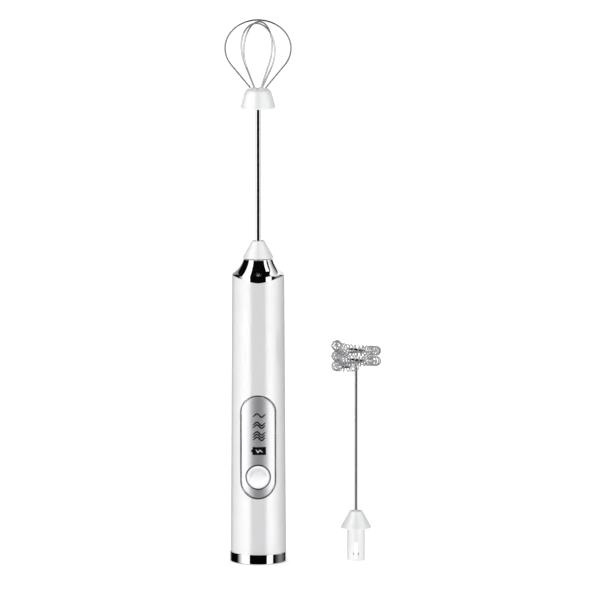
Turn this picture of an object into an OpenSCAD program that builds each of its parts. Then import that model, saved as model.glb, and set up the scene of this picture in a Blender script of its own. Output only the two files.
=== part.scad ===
// Cordless hand frother: a slim handle with a spinning egg whisk plugged into its nose,
// and a spare milk whisk with a ring-shaped spring head that stands beside it.
// The origin is the centre of the handle's foot, on its axis. +Z runs up the handle,
// the button panel faces -Y and the spare whisk stands at +X. Everything is in millimetres.

/* [Handle] */
// Outer diameter of the barrel just above the foot ring
barrel_foot_d = 28.2; // [28.0:0.1:28.6]
// Outer diameter of the barrel at the shoulder
barrel_top_d = 26.5; // [26.4:0.1:27.2]
// Height of the shoulder, where the barrel meets the nose
shoulder_z = 147.8; // [147:0.1:150]
// Wall of the barrel
barrel_wall = 1.6; // [1.4:0.1:1.6]
// Diameter of the plated foot ring
foot_ring_d = 29; // [28.8:0.1:30]
// Height of the plated foot ring
foot_ring_h = 4.9; // [4:0.1:5]

/* [Nose] */
// Height of the flared nose above the shoulder
nose_h = 7.8; // [7.6:0.1:8]
// Diameter of the nose at its tip
nose_tip_d = 15; // [15:0.1:15.4]
// How far the seam of the nose dips at the front
chin_drop = 3.2; // [1:0.1:3.4]

/* [Panel] */
// Width of the window for the panel
window_w = 18.4; // [18:0.1:18.6]
// Height of the window for the panel
window_h = 53.6; // [52:0.2:54]
// Height of the panel's centre
panel_z = 60.4; // [60:0.1:61]
// Gap between the window and the plate
panel_groove = 0.8; // [0.4:0.05:0.9]
// Height of the button's centre
button_z = 45.1; // [44.6:0.1:45.6]
// Diameter of the button cap
button_d = 11.7; // [11.5:0.1:11.8]
// Travel of the button
button_travel = 0.5; // [0.3:0.05:0.5]

/* [Whisks] */
// Diameter of the plug that snaps into the drive socket
plug_d = 9.1; // [9:0.05:9.15]
// Length of the plug below its collar
plug_len = 16.8; // [16.5:0.1:17]
// Diameter of the collar at its base
collar_d = 15.4; // [15.2:0.1:15.8]
// Height of the collar
collar_h = 8.8; // [8.6:0.1:9.6]
// Diameter of the egg whisk's shaft
egg_shaft_d = 2.7; // [2.6:0.1:3]
// Top of the tallest wire loop
whisk_top_z = 278; // [278:0.1:282]
// Half width of the wire loops
loop_r = 16.7; // [16.5:0.1:17.5]
// Wire diameter of the loops
loop_wire_d = 0.85; // [0.8:0.05:1]
// Directions of the three loops about the axis
loop_angles = [0, 65, -59];
// Distance from the handle's axis to the spare whisk's
spare_x = 50; // [45:1:60]
// Diameter of the milk whisk's shaft
milk_shaft_d = 1.8; // [1.8:0.1:2.4]
// Height of the lowest turn of the spring ring
ring_z = 100.3; // [95:0.1:105]
// Radius of the spring ring at the middle of its coil
ring_r = 10.25; // [10:0.05:11]
// Rise of the spring ring in one turn
ring_pitch = 5.3; // [5.3:0.05:5.6]
// Angle that the spring ring runs through
ring_sweep = 740; // [640:10:760]
// Outer radius of the coil
coil_r = 2.5; // [2.1:0.05:2.5]
// Wire diameter of the coil
coil_wire_d = 0.44; // [0.4:0.02:0.5]
// Distance between neighbouring turns of the coil
coil_pitch = 2.1; // [2:0.1:2.6]

/* [Hidden] */
$fn = 96;

big = 60;                                  // larger than any cross-section of the handle
spigot_z = 1;                              // bottom of the barrel, inside the foot ring
seat_gap = 0.05;                           // radial gap of pieces that are pushed together
nose_top_z = shoulder_z + nose_h;
nose_spigot_r = barrel_top_d / 2 - barrel_wall - 0.1;
nose_spigot_z = shoulder_z - 8;
side_drop = 0.15;                          // how far the seam's front half lies below its back half
seam_back_y = -0.5;                        // where the front half of the seam ends
seal_seat_z = shoulder_z + 1.6;
seal_h = 1.2;
socket_r = 6.2;
socket_top_z = nose_top_z - 1;
collar_z = nose_top_z + 0.5;
plug_end_z = collar_z - plug_len;
slot_w = 1.8;
detent_r = 1.5;                            // half width of the snap hole across the slot
slot_len = 10;
detent_up = 4;                             // height of the cross pin above the plug's end
pin_r = slot_w / 2 - seat_gap;
collar_top_r = 3.2;
shaft_seat = plug_len - 11.5;              // depth of a shaft in its plug below the collar

plate_t = 1;
gasket_drop = 0.35;                        // how far the gasket lies below the surface
gasket_play = 0.03;                        // gap between the gasket and the barrel
flange_t = 0.8;
board_front = 8;                           // distance of the board's front from the axis
board_t = 1;
board_half_w = 7.8;
board_face = board_front - board_t;        // distance of the board's rear face from the axis
carrier_r = 11.5;
spine_t = 1;
low_shelf_z = 29;
top_shelf_z = 85.6;
shelf_t = 4;
carrier_foot_z = 9.5;
carrier_top_z = 132;
motor_z = 104;                             // rear face of the motor can
motor_len = 25;
motor_r = 10.05;
motor_flat = 7.55;
can_t = 0.7;
damper_t = 1;
shaft_r = 1;
cell_r = 7;
cell_y = 3.2;
port_w = 10.4;                             // width of the port's window
port_h = 4.6;
port_z = 20.6;
usb_w = 9;
usb_h = 3.2;
usb_t = 0.3;                               // thickness of the port shell's sheet
usb_y = 4.6;                               // rear end of the port shell
usb_len = 7.7;
chip_w = 4.9;
chip_l = 3.9;
chip_h = 1.4;
tab_t = 0.2;                               // thickness of the cell's tabs
tab_half_w = 2;
lead_x = 2.5;                              // sideways place of the charging leads
terminal_x = 3.75;                         // sideways place of the motor's terminals
terminal_t = 0.3;
core_z = motor_z + 7;                      // lower face of the rotor's core
core_h = 12;
core_r = 6.4;
shaft_top_z = motor_z + 33.2;
button_seat = 11.3;                        // distance of the button's stem from the axis
button_skirt = 10;                         // distance of the skirt's edge from the axis
button_flange = 1.05;                      // how far the retaining flange stands out
button_face = 14.35;                       // distance of the button's rim from the axis
button_dish = 13.9;                        // distance of the dish's floor from the axis
stem_r = 1.6;
switch_side = 6;
switch_h = 2.4;
guide_half_w = 3.6;
guide_low = 7.9;                           // height of the light guide's ends above the button
guide_high = 36.9;

hub_z = 232.6;
hub_h = 10;
belly_z = whisk_top_z - 14.7;              // height at which the loops are widest
lower_arc_r = 13.3;
leg_tilt = 39.8;                           // slope of the loops' legs from the vertical
leg_r = 3.7;                               // distance of the legs from the axis in the hub
leg_end_z = hub_z + 6;
ring_lean = 4;                             // lean of the spring ring, front up
core_wire_r = 0.6;

// ---- helpers ----

function barrel_r(z) =
    (barrel_foot_d + (barrel_top_d - barrel_foot_d)
     * (z - foot_ring_h) / (shoulder_z - foot_ring_h)) / 2;

// Height of the nose seam at a sideways distance x from the axis
function seam_z(x) =
    let (soft = 3, reach = norm([barrel_top_d / 2, soft]) - soft)
    shoulder_z - side_drop - (chin_drop - side_drop) * (1 - (norm([x, soft]) - soft) / reach);

function unit(v) = v / norm(v);

// Centre of the circle through three points of the plane
function circle_centre(a, b, c) =
    let (ab = b - a, ac = c - a, den = 2 * (ab.x * ac.y - ab.y * ac.x))
    a + [ac.y * (ab * ab) - ab.y * (ac * ac), ab.x * (ac * ac) - ac.x * (ab * ab)] / den;

module rod(r, z0, z1) translate([0, 0, z0]) cylinder(r = r, h = z1 - z0);

module tube(r_out, r_in, z0, z1)
    difference() {
        rod(r_out, z0, z1);
        rod(r_in, z0 - 1, z1 + 1);
    }

// Box given by its low and high corners
module block(low, high) translate(low) cube(high - low);

// A rod with a flat on both Y sides
module flatted(r, flat, z0, z1)
    intersection() {
        rod(r, z0, z1);
        block([-big, -flat, z0], [big, flat, z1]);
    }

// Turns the local +Z axis to the front, so that height becomes distance from the axis
module to_front(z) translate([0, 0, z]) rotate([90, 0, 0]) children();

module to_back(z) translate([0, 0, z]) rotate([-90, 0, 0]) children();

module stadium(w, h) {
    square([w, h - w], center = true);
    for (side = [-1, 1]) translate([0, side * (h - w) / 2]) circle(d = w);
}

// Upright stadium that reaches from the axis out through the front
module panel_prism(shrink)
    to_front(panel_z) linear_extrude(big / 2) stadium(window_w - 2 * shrink, window_h - 2 * shrink);

// Layer of the barrel's wall between two depths below its surface
module skin(depth_out, depth_in, z0, z1)
    rotate_extrude() polygon([
        [barrel_r(z0) - depth_in, z0], [barrel_r(z0) - depth_out, z0],
        [barrel_r(z1) - depth_out, z1], [barrel_r(z1) - depth_in, z1]
    ]);

// Everything above the seam, in front of the axis
module chin_prism()
    translate([0, seam_back_y, 0]) rotate([90, 0, 0]) linear_extrude(big / 2) polygon(concat(
        [for (x = [-14:1.75:14]) [x, seam_z(x)]],
        [[14, shoulder_z + 20], [-14, shoulder_z + 20]]
    ));

// Tube of radius r and k sides along points; across[i] points sideways at point i
module wire(points, across, r, k) {
    n = len(points);
    rings = [for (i = [0:n - 1]) let (
        t = unit(points[min(i + 1, n - 1)] - points[max(i - 1, 0)]),
        u = unit(across[i] - (across[i] * t) * t),
        v = cross(t, u)
    ) for (j = [0:k - 1]) points[i] + r * (cos(360 * j / k) * u + sin(360 * j / k) * v)];
    sides = [for (i = [0:n - 2], j = [0:k - 1]) let (
        a = i * k + j,
        b = i * k + (j + 1) % k
    ) each [[b + k, b, a], [a + k, b + k, a]]];
    ends = [[for (j = [0:k - 1]) j], [for (j = [k - 1:-1:0]) (n - 1) * k + j]];
    polyhedron(points = rings, faces = concat(sides, ends), convexity = 20);
}

// Insulated lead through a few points, with the X axis as its sideways direction
module lead(points, r = 0.5) wire(points, [for (p = points) [1, 0, 0]], r, 8);

// ---- handle shell ----

module barrel() color("white")
    difference() {
        rotate_extrude() polygon([
            [barrel_r(spigot_z) - barrel_wall, spigot_z],
            [foot_ring_d / 2 - 1, spigot_z],
            [foot_ring_d / 2 - 1, foot_ring_h],
            [barrel_r(foot_ring_h), foot_ring_h],
            [barrel_r(shoulder_z), shoulder_z],
            [barrel_r(shoulder_z) - barrel_wall, shoulder_z]
        ]);
        chin_prism();
        panel_prism(0);
        to_back(port_z) linear_extrude(big / 2) rotate(90) stadium(port_h, port_w);
    }

module base_ring() color("silver")
    rotate_extrude() let (r = foot_ring_d / 2, edge = 0.25, lip = spigot_z - 0.05) polygon([
        [r - 1.85, 0], [r - edge, 0], [r, edge], [r, foot_ring_h - edge],
        [r - edge, foot_ring_h], [r - 0.95, foot_ring_h], [r - 0.95, lip], [r - 1.85, lip]
    ]);

module end_cap() color("whitesmoke")
    rotate_extrude() let (r = foot_ring_d / 2 - 2.1) polygon([
        [0, 0], [r - 0.2, 0], [r, 0.2], [r, 8], [r - 1.2, 8], [r - 1.2, 2], [0, 2]
    ]);

module nose_cone() color("silver")
    difference() {
        rotate_extrude() difference() {
            polygon([
                [nose_spigot_r - 1.6, nose_spigot_z], [nose_spigot_r, nose_spigot_z],
                [nose_spigot_r, shoulder_z - chin_drop - 0.5],
                [barrel_r(shoulder_z - chin_drop - 0.5), shoulder_z - chin_drop - 0.5],
                [barrel_r(shoulder_z), shoulder_z], [barrel_r(shoulder_z) - 0.35, shoulder_z + 0.4],
                [nose_tip_d / 2, nose_top_z - 0.2], [nose_tip_d / 2 - 0.2, nose_top_z],
                [socket_r + 0.4, nose_top_z], [socket_r + 0.4, seal_seat_z],
                [9, seal_seat_z], [9, nose_spigot_z + 3]
            ]);
            let (
                low = [barrel_top_d / 2 - 0.35, shoulder_z + 0.4],
                mid = [nose_tip_d / 2 + 2.1, shoulder_z + nose_h * 0.44],
                top = [nose_tip_d / 2, nose_top_z - 0.2],
                centre = circle_centre(low, mid, top)
            ) translate(centre) circle(r = norm(centre - mid), $fn = 200);
            translate([nose_spigot_r - 0.95, nose_spigot_z + 2.4]) square([2, 1.1]);
        }
        difference() {
            tube(big / 2, nose_spigot_r + 0.04, shoulder_z - chin_drop - 2, shoulder_z);
            chin_prism();
        }
    }

module nose_o_ring() color("dimgray")
    translate([0, 0, nose_spigot_z + 2.95])
        rotate_extrude() translate([nose_spigot_r - 0.43, 0]) circle(r = 0.5, $fn = 24);

module splash_seal() color("dimgray")
    tube(8.95, socket_r + 0.06, seal_seat_z - seal_h, seal_seat_z);

// ---- panel and button ----

module panel_plate() color("lightgray")
    difference() {
        intersection() {
            skin(-0.05, plate_t, panel_z - 40, panel_z + 40);
            panel_prism(panel_groove);
        }
        to_front(button_z) cylinder(r = button_d / 2 + 0.7, h = big);
    }

module panel_gasket() color("black")
    difference() {
        union() {
            intersection() {
                skin(gasket_drop, barrel_wall + flange_t, panel_z - 40, panel_z + 40);
                panel_prism(gasket_play);
            }
            intersection() {
                skin(barrel_wall + gasket_play, barrel_wall + flange_t, panel_z - 40, panel_z + 40);
                panel_prism(-1.2);
            }
        }
        intersection() {
            skin(-1, plate_t, panel_z - 45, panel_z + 45);
            panel_prism(panel_groove);
        }
        panel_prism(panel_groove + 1);
    }

module button_bezel() color("black")
    intersection() {
        skin(-0.15, plate_t, panel_z - 40, panel_z + 40);
        to_front(button_z) tube(button_d / 2 + 0.7, button_d / 2 + 0.2, 1, big);
    }

// Cap, skirt with its retaining flange, and the stem that pushes the switch
module button_cap() color("white")
    to_front(button_z) rotate_extrude() let (r = button_d / 2) polygon([
        [0, button_seat], [stem_r, button_seat], [stem_r, button_dish - 1],
        [r - 0.85, button_dish - 1], [r - 0.85, button_skirt], [r + button_flange, button_skirt],
        [r + button_flange, button_skirt + 0.6], [r, button_skirt + 0.6], [r, button_face - 0.35],
        [r - 0.15, button_face - 0.1], [r - 0.5, button_face], [r - 1.2, button_face - 0.05],
        [r - 2.6, button_dish + 0.15], [0, button_dish]
    ]);

module light_guide() color("gainsboro") {
    intersection() {
        skin(plate_t, plate_t + 3, panel_z - 40, panel_z + 40);
        block([-guide_half_w, -big, button_z + guide_low], [guide_half_w, 0, button_z + guide_high]);
    }
    for (z = [button_z + guide_low, button_z + guide_high - 1.6])
        block([-2, -board_front - 2.6, z], [2, -board_front, z + 1.6]);
}

// ---- chassis and electronics ----

// Turned from one rod: a bay is cut out above each shelf, which leaves the spine at the back
module carrier() color("gray")
    difference() {
        rod(carrier_r, carrier_foot_z, carrier_top_z);
        block([-big, -big, carrier_foot_z + 1.5], [big, -board_face, motor_z - 5]);
        difference() {
            carrier_bay(carrier_foot_z + 1.5, low_shelf_z);
            for (side = [-1, 1])
                block([side * 4.5 - 1, -2, carrier_foot_z], [side * 4.5 + 1, 8, port_z - 2.6]);
        }
        carrier_bay(low_shelf_z + shelf_t, top_shelf_z);
        carrier_bay(top_shelf_z + shelf_t, motor_z - 5);
        flatted(motor_r + 0.1, motor_flat + 0.1, motor_z - 6, motor_z + motor_len + damper_t);
        rod(3.4, motor_z, shoulder_z);
        block([-6.2, 3, port_z - 3.6], [6.2, big, port_z + 3.4]);
        for (z = board_screw_heights()) to_front(z) rod(0.8, 3, 7.5);
    }

module carrier_bay(z0, z1) {
    rod(carrier_r - spine_t, z0, z1);
    block([-big, -big, z0], [big, 4.5, z1]);
}

function board_screw_heights() = [low_shelf_z + shelf_t / 2, top_shelf_z + shelf_t / 2];

module circuit_board() color("darkgreen")
    difference() {
        block([-board_half_w, -board_front, low_shelf_z - 4],
              [board_half_w, -board_face, top_shelf_z + 7.4]);
        for (z = board_screw_heights()) to_front(z) rod(1, 3, big);
    }

module board_screws() color("silver")
    for (z = board_screw_heights()) to_front(z) difference() {
        union() {
            rod(0.8, 3.2, board_front + 0.1);
            rod(1.7, board_front, board_front + 0.9);
        }
        for (turn = [0, 90]) rotate(turn)
            translate([-1, -0.2, board_front + 0.5]) cube([2, 0.4, 1]);
    }

module tact_switch() color("dimgray")
    to_front(button_z) difference() {
        translate([-switch_side / 2, -switch_side / 2, board_front])
            cube([switch_side, switch_side, switch_h]);
        rod(stem_r + 0.15, board_front + 0.3, big);
    }

module switch_plunger() color("black")
    to_front(button_z) rod(stem_r + 0.1, board_front + 0.4 + button_travel, button_seat - 0.02);

module indicator_leds() color("lightyellow")
    for (z = [76.9, 71.9, 66.3, 58.6])
        block([-0.8, -board_front - 0.7, z - 0.4], [0.8, -board_front, z + 0.4]);

module charge_chip() color("black")
    translate([-5.5, -board_face, 38]) cube([chip_w, chip_h, chip_l]);

module motor_transistor() color("black")
    block([1.5, -board_face, 77.5], [4.5, -board_face + 1.1, 79.1]);

module board_passives() color("tan")
    for (z = [46, 49, 52, 60, 63], x = [-5, 4.2])
        block([x, -board_face, z], [x + 0.8, -board_face + 0.5, z + 1.6]);

module charge_board() color("darkgreen")
    block([-6, -3, port_z - 2.6], [6, 10, port_z - 1.6]);

module usb_shell() color("silver")
    to_back(port_z) difference() {
        translate([0, 0, usb_y]) linear_extrude(usb_len) rotate(90) stadium(usb_h, usb_w);
        translate([0, 0, usb_y + 2 * usb_t]) linear_extrude(usb_len + 1.3) rotate(90)
            stadium(usb_h - 2 * usb_t, usb_w - 2 * usb_t);
    }

module usb_tongue() color("black")
    block([-3.35, 5.2, port_z - 0.35], [3.35, 11.6, port_z + 0.35]);

module charge_leads() color("red")
    for (x = [-lead_x, lead_x])
        lead([[x, -2.4, port_z - 1], [x, -3.4, port_z - 0.6], [x, -4.6, port_z + 1],
              [x, -5.4, port_z + 3.5], [x, -6.4, port_z + 5.4]]);

module battery_cell() color("royalblue")
    translate([0, cell_y, 0]) {
        rod(cell_r, low_shelf_z + shelf_t + 1.6, top_shelf_z - 2);
        rod(2.7, top_shelf_z - 2.1, top_shelf_z - 1.2);
    }

module battery_tabs() color("silver")
    for (z = [low_shelf_z + shelf_t + 1.4, top_shelf_z - 1.2])
        block([-tab_half_w, cell_y - cell_r - 1, z], [tab_half_w, cell_y + 4, z + tab_t]);

module battery_pad() color("lightslategray")
    difference() {
        intersection() {
            rod(carrier_r - spine_t, 45, 75);
            block([-4.5, 6, 0], [4.5, big, shoulder_z]);
        }
        translate([0, cell_y, 0]) rod(cell_r, 0, shoulder_z);
    }

module battery_leads() color("red") {
    lead([[0, cell_y - cell_r - 1, 34.5], [0, cell_y - cell_r - 1.7, 34.6],
          [0, cell_y - cell_r - 2.4, 35.4], [0, cell_y - cell_r - 2.6, 36.8]], 0.45);
    lead([[0, cell_y - cell_r - 1, 84.5], [0, cell_y - cell_r - 1.7, 84.4],
          [0, cell_y - cell_r - 2.4, 83.6], [0, cell_y - cell_r - 2.6, 82.2]], 0.45);
}

// ---- motor and drive ----

module motor_can() color("silver")
    difference() {
        union() {
            flatted(motor_r, motor_flat, motor_z, motor_z + motor_len);
            rod(3.1, motor_z + motor_len - 1, motor_z + motor_len + 1.6);
        }
        flatted(motor_r - can_t, motor_flat - can_t, motor_z - 1, motor_z + motor_len - can_t);
        rod(2.4, motor_z, motor_z + motor_len + 3);
    }

module motor_end_bell() color("ivory")
    difference() {
        union() {
            flatted(motor_r, motor_flat, motor_z - 2, motor_z);
            flatted(motor_r - can_t, motor_flat - can_t, motor_z - 0.5, motor_z + 1.5);
            rod(3.3, motor_z - 3.2, motor_z);
        }
        rod(2.2, motor_z - 5, motor_z);
        rod(5.5, motor_z - 0.8, motor_z + 2);
        for (side = [-1, 1])
            translate([side * terminal_x - 0.2, -1.1, motor_z - 4]) cube([0.4, 2.2, 6]);
    }

module motor_magnets() color("dimgray")
    for (turn = [0, 180]) rotate(turn) intersection() {
        tube(motor_r - can_t, 7, motor_z + 4, motor_z + 22);
        block([4.5, can_t - motor_flat, 0], [big, motor_flat - can_t, shoulder_z]);
    }

module front_bush() color("peru")
    tube(2.4, shaft_r + 0.03, motor_z + motor_len - can_t, motor_z + motor_len + 1.6);

module rear_bush() color("peru")
    tube(2.2, shaft_r + 0.03, motor_z - 3.1, motor_z - 1);

module motor_brushes() color("dimgray")
    for (turn = [0, 180]) rotate(turn)
        difference() {
            block([2, -0.9, motor_z + 2.2], [3.6, 0.9, motor_z + 4.2]);
            rod(2.25, motor_z, motor_z + 6);
        }

module motor_terminals() color("gold")
    for (turn = [0, 180]) rotate(turn)
        translate([terminal_x - terminal_t / 2, -1, motor_z - 5.8]) cube([terminal_t, 2, 10]);

// Washer between the motor's face and the carrier
module motor_damper() color("dimgray")
    tube(7.4, 3.4, motor_z + motor_len, motor_z + motor_len + damper_t);

module motor_leads() color("black")
    for (side = [-1, 1])
        let (x = side * terminal_x)
            lead([[x, -1.5, motor_z - 5.3], [x, -2.4, motor_z - 5.6], [x, -4, motor_z - 7.4],
                  [x, -5.4, motor_z - 9.6], [x, -6.4, motor_z - 12.4]]);

module motor_shaft() color("silver")
    rod(shaft_r, motor_z - 3.4, shaft_top_z);

// Three-pole armature
module rotor_core() color("slategray")
    difference() {
        union() {
            rod(2.2, core_z, core_z + core_h);
            for (turn = [60:120:300]) rotate(turn) {
                block([1, -1, core_z], [5.6, 1, core_z + core_h]);
                intersection() {
                    tube(core_r, core_r - 1.1, core_z, core_z + core_h);
                    block([2.9, -4.7, 0], [big, 4.7, shoulder_z]);
                }
            }
        }
        rod(shaft_r, motor_z, motor_z + 30);
    }

module rotor_windings() color("chocolate")
    for (turn = [60:120:300]) rotate(turn) difference() {
        block([2.75, -2.3, core_z - 1.6], [4.65, 2.3, core_z + core_h + 1.6]);
        block([0, -1, core_z], [6, 1, core_z + core_h]);
        tube(8, core_r - 1.1, motor_z, motor_z + 30);
        rod(2.2, motor_z, motor_z + 30);
    }

module commutator() color("orange")
    difference() {
        tube(2.2, 1.6, motor_z + 1.4, motor_z + 4.8);
        for (turn = [0:120:240]) rotate(turn)
            block([0, -0.15, motor_z], [3, 0.15, motor_z + 6]);
    }

module commutator_sleeve() color("ivory")
    tube(1.6, shaft_r, motor_z + 1.2, motor_z + 5.2);

// Cup that holds a whisk's plug, pressed on the motor shaft
module drive_socket() color("whitesmoke")
    difference() {
        rotate_extrude() let (floor_z = plug_end_z - 0.1, bore = plug_d / 2 + seat_gap) polygon([
            [0, shaft_top_z], [shaft_r, shaft_top_z], [shaft_r, shaft_top_z - 4.2],
            [3.2, shaft_top_z - 4.2], [3.2, floor_z - 2.4], [socket_r, floor_z - 0.4],
            [socket_r, socket_top_z], [bore + 0.4, socket_top_z], [bore, socket_top_z - 0.6],
            [bore, floor_z], [0, floor_z]
        ]);
        translate([0, 0, plug_end_z + detent_up]) rotate([90, 0, 0])
            cylinder(r = pin_r, h = big, center = true);
    }

module drive_pin() color("silver")
    translate([0, 0, plug_end_z + detent_up]) rotate([90, 0, 0])
        cylinder(r = pin_r, h = 2 * socket_r - 0.3, center = true);

// ---- whisks ----

// Split plug with its collar; the collar's base is at z = 0
module plug(shaft_radius)
    difference() {
        rotate_extrude() let (r = plug_d / 2) polygon([
            [0, -plug_len], [r - 0.4, -plug_len], [r, 0.4 - plug_len], [r, 0],
            [collar_d / 2, 0], [collar_d / 2, 0.5], [collar_top_r, collar_h - 0.2],
            [collar_top_r - 0.3, collar_h], [shaft_radius, collar_h],
            [shaft_radius, -shaft_seat], [0, -shaft_seat]
        ]);
        translate([0, 0, -plug_len]) rotate([90, 0, 0]) linear_extrude(big, center = true) {
            translate([-slot_w / 2, -1]) square([slot_w, slot_len + 1 - slot_w / 2]);
            translate([0, slot_len - slot_w / 2]) circle(d = slot_w);
            translate([0, detent_up]) circle(r = detent_r);
        }
    }

module egg_plug() color("white") translate([0, 0, collar_z]) plug(egg_shaft_d / 2);

module egg_shaft() color("silver")
    rod(egg_shaft_d / 2, collar_z - shaft_seat, hub_z + 5.7);

module egg_hub() color("white")
    difference() {
        rotate_extrude() polygon([
            [0, hub_z + 5.7], [egg_shaft_d / 2, hub_z + 5.7], [egg_shaft_d / 2, hub_z],
            [8.3, hub_z], [8.8, hub_z + 0.6], [6.95, hub_z + 7.6], [6.3, hub_z + 9],
            [5.2, hub_z + hub_h], [0, hub_z + hub_h]
        ]);
        for (angle = loop_angles, side = [-1, 1]) rotate(angle)
            translate([side * leg_r, 0, leg_end_z]) cylinder(d = loop_wire_d + 0.04, h = hub_h);
    }

// One half of a loop from its top to its foot, as distance from the axis and height
function half_loop(top_z) =
    let (bend = [loop_r - lower_arc_r * (1 - cos(leg_tilt)), belly_z - lower_arc_r * sin(leg_tilt)])
    concat(
        [for (t = [0:10:90]) [loop_r * sin(t), belly_z + (top_z - belly_z) * cos(t)]],
        [for (t = [10:10:30])
            [loop_r - lower_arc_r * (1 - cos(t)), belly_z - lower_arc_r * sin(t)]],
        [bend, [leg_r, bend.y - (bend.x - leg_r) / tan(leg_tilt)], [leg_r, leg_end_z]]
    );

// The wire loop number i, each one nested below the one before
module egg_loop(i)
    let (
        half = half_loop(whisk_top_z - (0.5 + 1.06 * i) * loop_wire_d),
        n = len(half),
        outline = concat([for (k = [n - 1:-1:1]) [-half[k].x, half[k].y]], half)
    ) color("gainsboro") rotate(loop_angles[i])
        wire([for (p = outline) [p.x, 0, p.y]], [for (p = outline) [0, 1, 0]], loop_wire_d / 2, 6);

module egg_loop_wide() egg_loop(0);

module egg_loop_left() egg_loop(1);

module egg_loop_right() egg_loop(2);

// Path of the milk whisk's head at a distance s from the shaft's axis:
// a half circle out to the ring, then the rising ring itself
function lead_in() = PI * ring_r / 2;

function head_length() = lead_in() + ring_r * ring_sweep * PI / 180;

function head_point(s) =
    let (
        out = s < lead_in(),
        a = out ? -360 / PI * s / ring_r : 180 - (s - lead_in()) / ring_r * 180 / PI,
        xy = out ? ring_r / 2 * [cos(a) - 1, sin(a)] : ring_r * [cos(a), sin(a)],
        rise = out ? 0 : ring_pitch * (s - lead_in()) / (2 * PI * ring_r)
    ) [xy.x, xy.y, ring_z + rise - xy.y * tan(ring_lean)];

// Level direction across the path
function head_across(s) =
    let (t = head_point(s + 0.05) - head_point(s - 0.05)) unit([t.y, -t.x, 0]);

// Point of the coil that is wound about the path
function coil_point(s) =
    let (turn = 360 * s / coil_pitch)
    head_point(s) + (coil_r - coil_wire_d / 2) * (cos(turn) * head_across(s) + [0, 0, sin(turn)]);

module milk_plug() color("white") translate([spare_x, 0, plug_len]) plug(milk_shaft_d / 2);

module milk_shaft() color("silver")
    translate([spare_x, 0, 0]) rod(milk_shaft_d / 2, plug_len - shaft_seat, ring_z + core_wire_r);

module milk_core_wire() color("silver")
    let (
        first = milk_shaft_d / 2,
        last = head_length() - 0.3,
        steps = 76,
        path = [for (i = [0:steps]) first + (last - first) * i / steps]
    ) translate([spare_x, 0, 0])
        wire([for (s = path) head_point(s)], [for (s = path) [0, 0, 1]], core_wire_r, 8);

module milk_spring() color("gainsboro")
    let (
        first = milk_shaft_d / 2 + 0.6,
        step = coil_pitch / 8,
        path = [for (s = [first:step:head_length()]) s]
    ) translate([spare_x, 0, 0])
        wire([for (s = path) coil_point(s)], [for (s = path) coil_point(s) - head_point(s)],
             coil_wire_d / 2, 5);

barrel();
base_ring();
end_cap();
nose_cone();
nose_o_ring();
splash_seal();
panel_plate();
panel_gasket();
button_bezel();
button_cap();
light_guide();
carrier();
circuit_board();
board_screws();
tact_switch();
switch_plunger();
indicator_leds();
charge_chip();
motor_transistor();
board_passives();
charge_board();
usb_shell();
usb_tongue();
charge_leads();
battery_cell();
battery_tabs();
battery_pad();
battery_leads();
motor_can();
motor_end_bell();
motor_magnets();
front_bush();
rear_bush();
motor_brushes();
motor_terminals();
motor_damper();
motor_leads();
motor_shaft();
rotor_core();
rotor_windings();
commutator();
commutator_sleeve();
drive_socket();
drive_pin();
egg_plug();
egg_shaft();
egg_hub();
egg_loop_wide();
egg_loop_left();
egg_loop_right();
milk_plug();
milk_shaft();
milk_core_wire();
milk_spring();
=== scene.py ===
"""Studio scene of a cordless hand frother with a balloon whisk in its nose and a spare ring whisk beside it.

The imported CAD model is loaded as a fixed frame. Every outer surface that shows is rebuilt here as a finer
piece that stands for its CAD node; the pieces inside the handle stay as they are and get a finish.
Sizes are in millimetres in the classes and become metres when a mesh is made.
"""

import logging
import math
from collections.abc import Callable, Sequence
from dataclasses import dataclass, field
from enum import Enum

import bmesh
import bpy
import numpy as np
from mathutils import Matrix, Vector

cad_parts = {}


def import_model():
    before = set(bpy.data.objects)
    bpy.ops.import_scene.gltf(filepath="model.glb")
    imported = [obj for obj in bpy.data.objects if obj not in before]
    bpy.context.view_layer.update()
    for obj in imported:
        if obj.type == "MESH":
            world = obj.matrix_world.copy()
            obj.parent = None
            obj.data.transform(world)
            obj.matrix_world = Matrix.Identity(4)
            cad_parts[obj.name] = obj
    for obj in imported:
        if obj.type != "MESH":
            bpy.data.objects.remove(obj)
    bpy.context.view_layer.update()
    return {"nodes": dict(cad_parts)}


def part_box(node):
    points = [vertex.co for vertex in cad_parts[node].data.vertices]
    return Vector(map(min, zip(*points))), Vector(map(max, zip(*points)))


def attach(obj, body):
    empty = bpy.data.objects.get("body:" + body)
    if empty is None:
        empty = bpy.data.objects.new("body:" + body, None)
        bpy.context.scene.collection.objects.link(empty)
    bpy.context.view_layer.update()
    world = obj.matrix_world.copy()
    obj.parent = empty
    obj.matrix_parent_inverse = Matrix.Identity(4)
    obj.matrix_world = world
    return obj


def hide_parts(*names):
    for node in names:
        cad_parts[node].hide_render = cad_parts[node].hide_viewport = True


MM = 0.001
LOG = logging.getLogger("frother")

Pair = tuple[float, float]
Triple = tuple[float, float, float]
Colour = tuple[float, float, float, float]
Shape = tuple[list[Triple], list[list[int]]]


def rgb(red: float, green: float, blue: float) -> Colour:
    """Returns a linear colour with full alpha."""
    return (red, green, blue, 1.0)


# ---------------------------------------------------------------------------------------------
# Node graphs
# ---------------------------------------------------------------------------------------------


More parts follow.
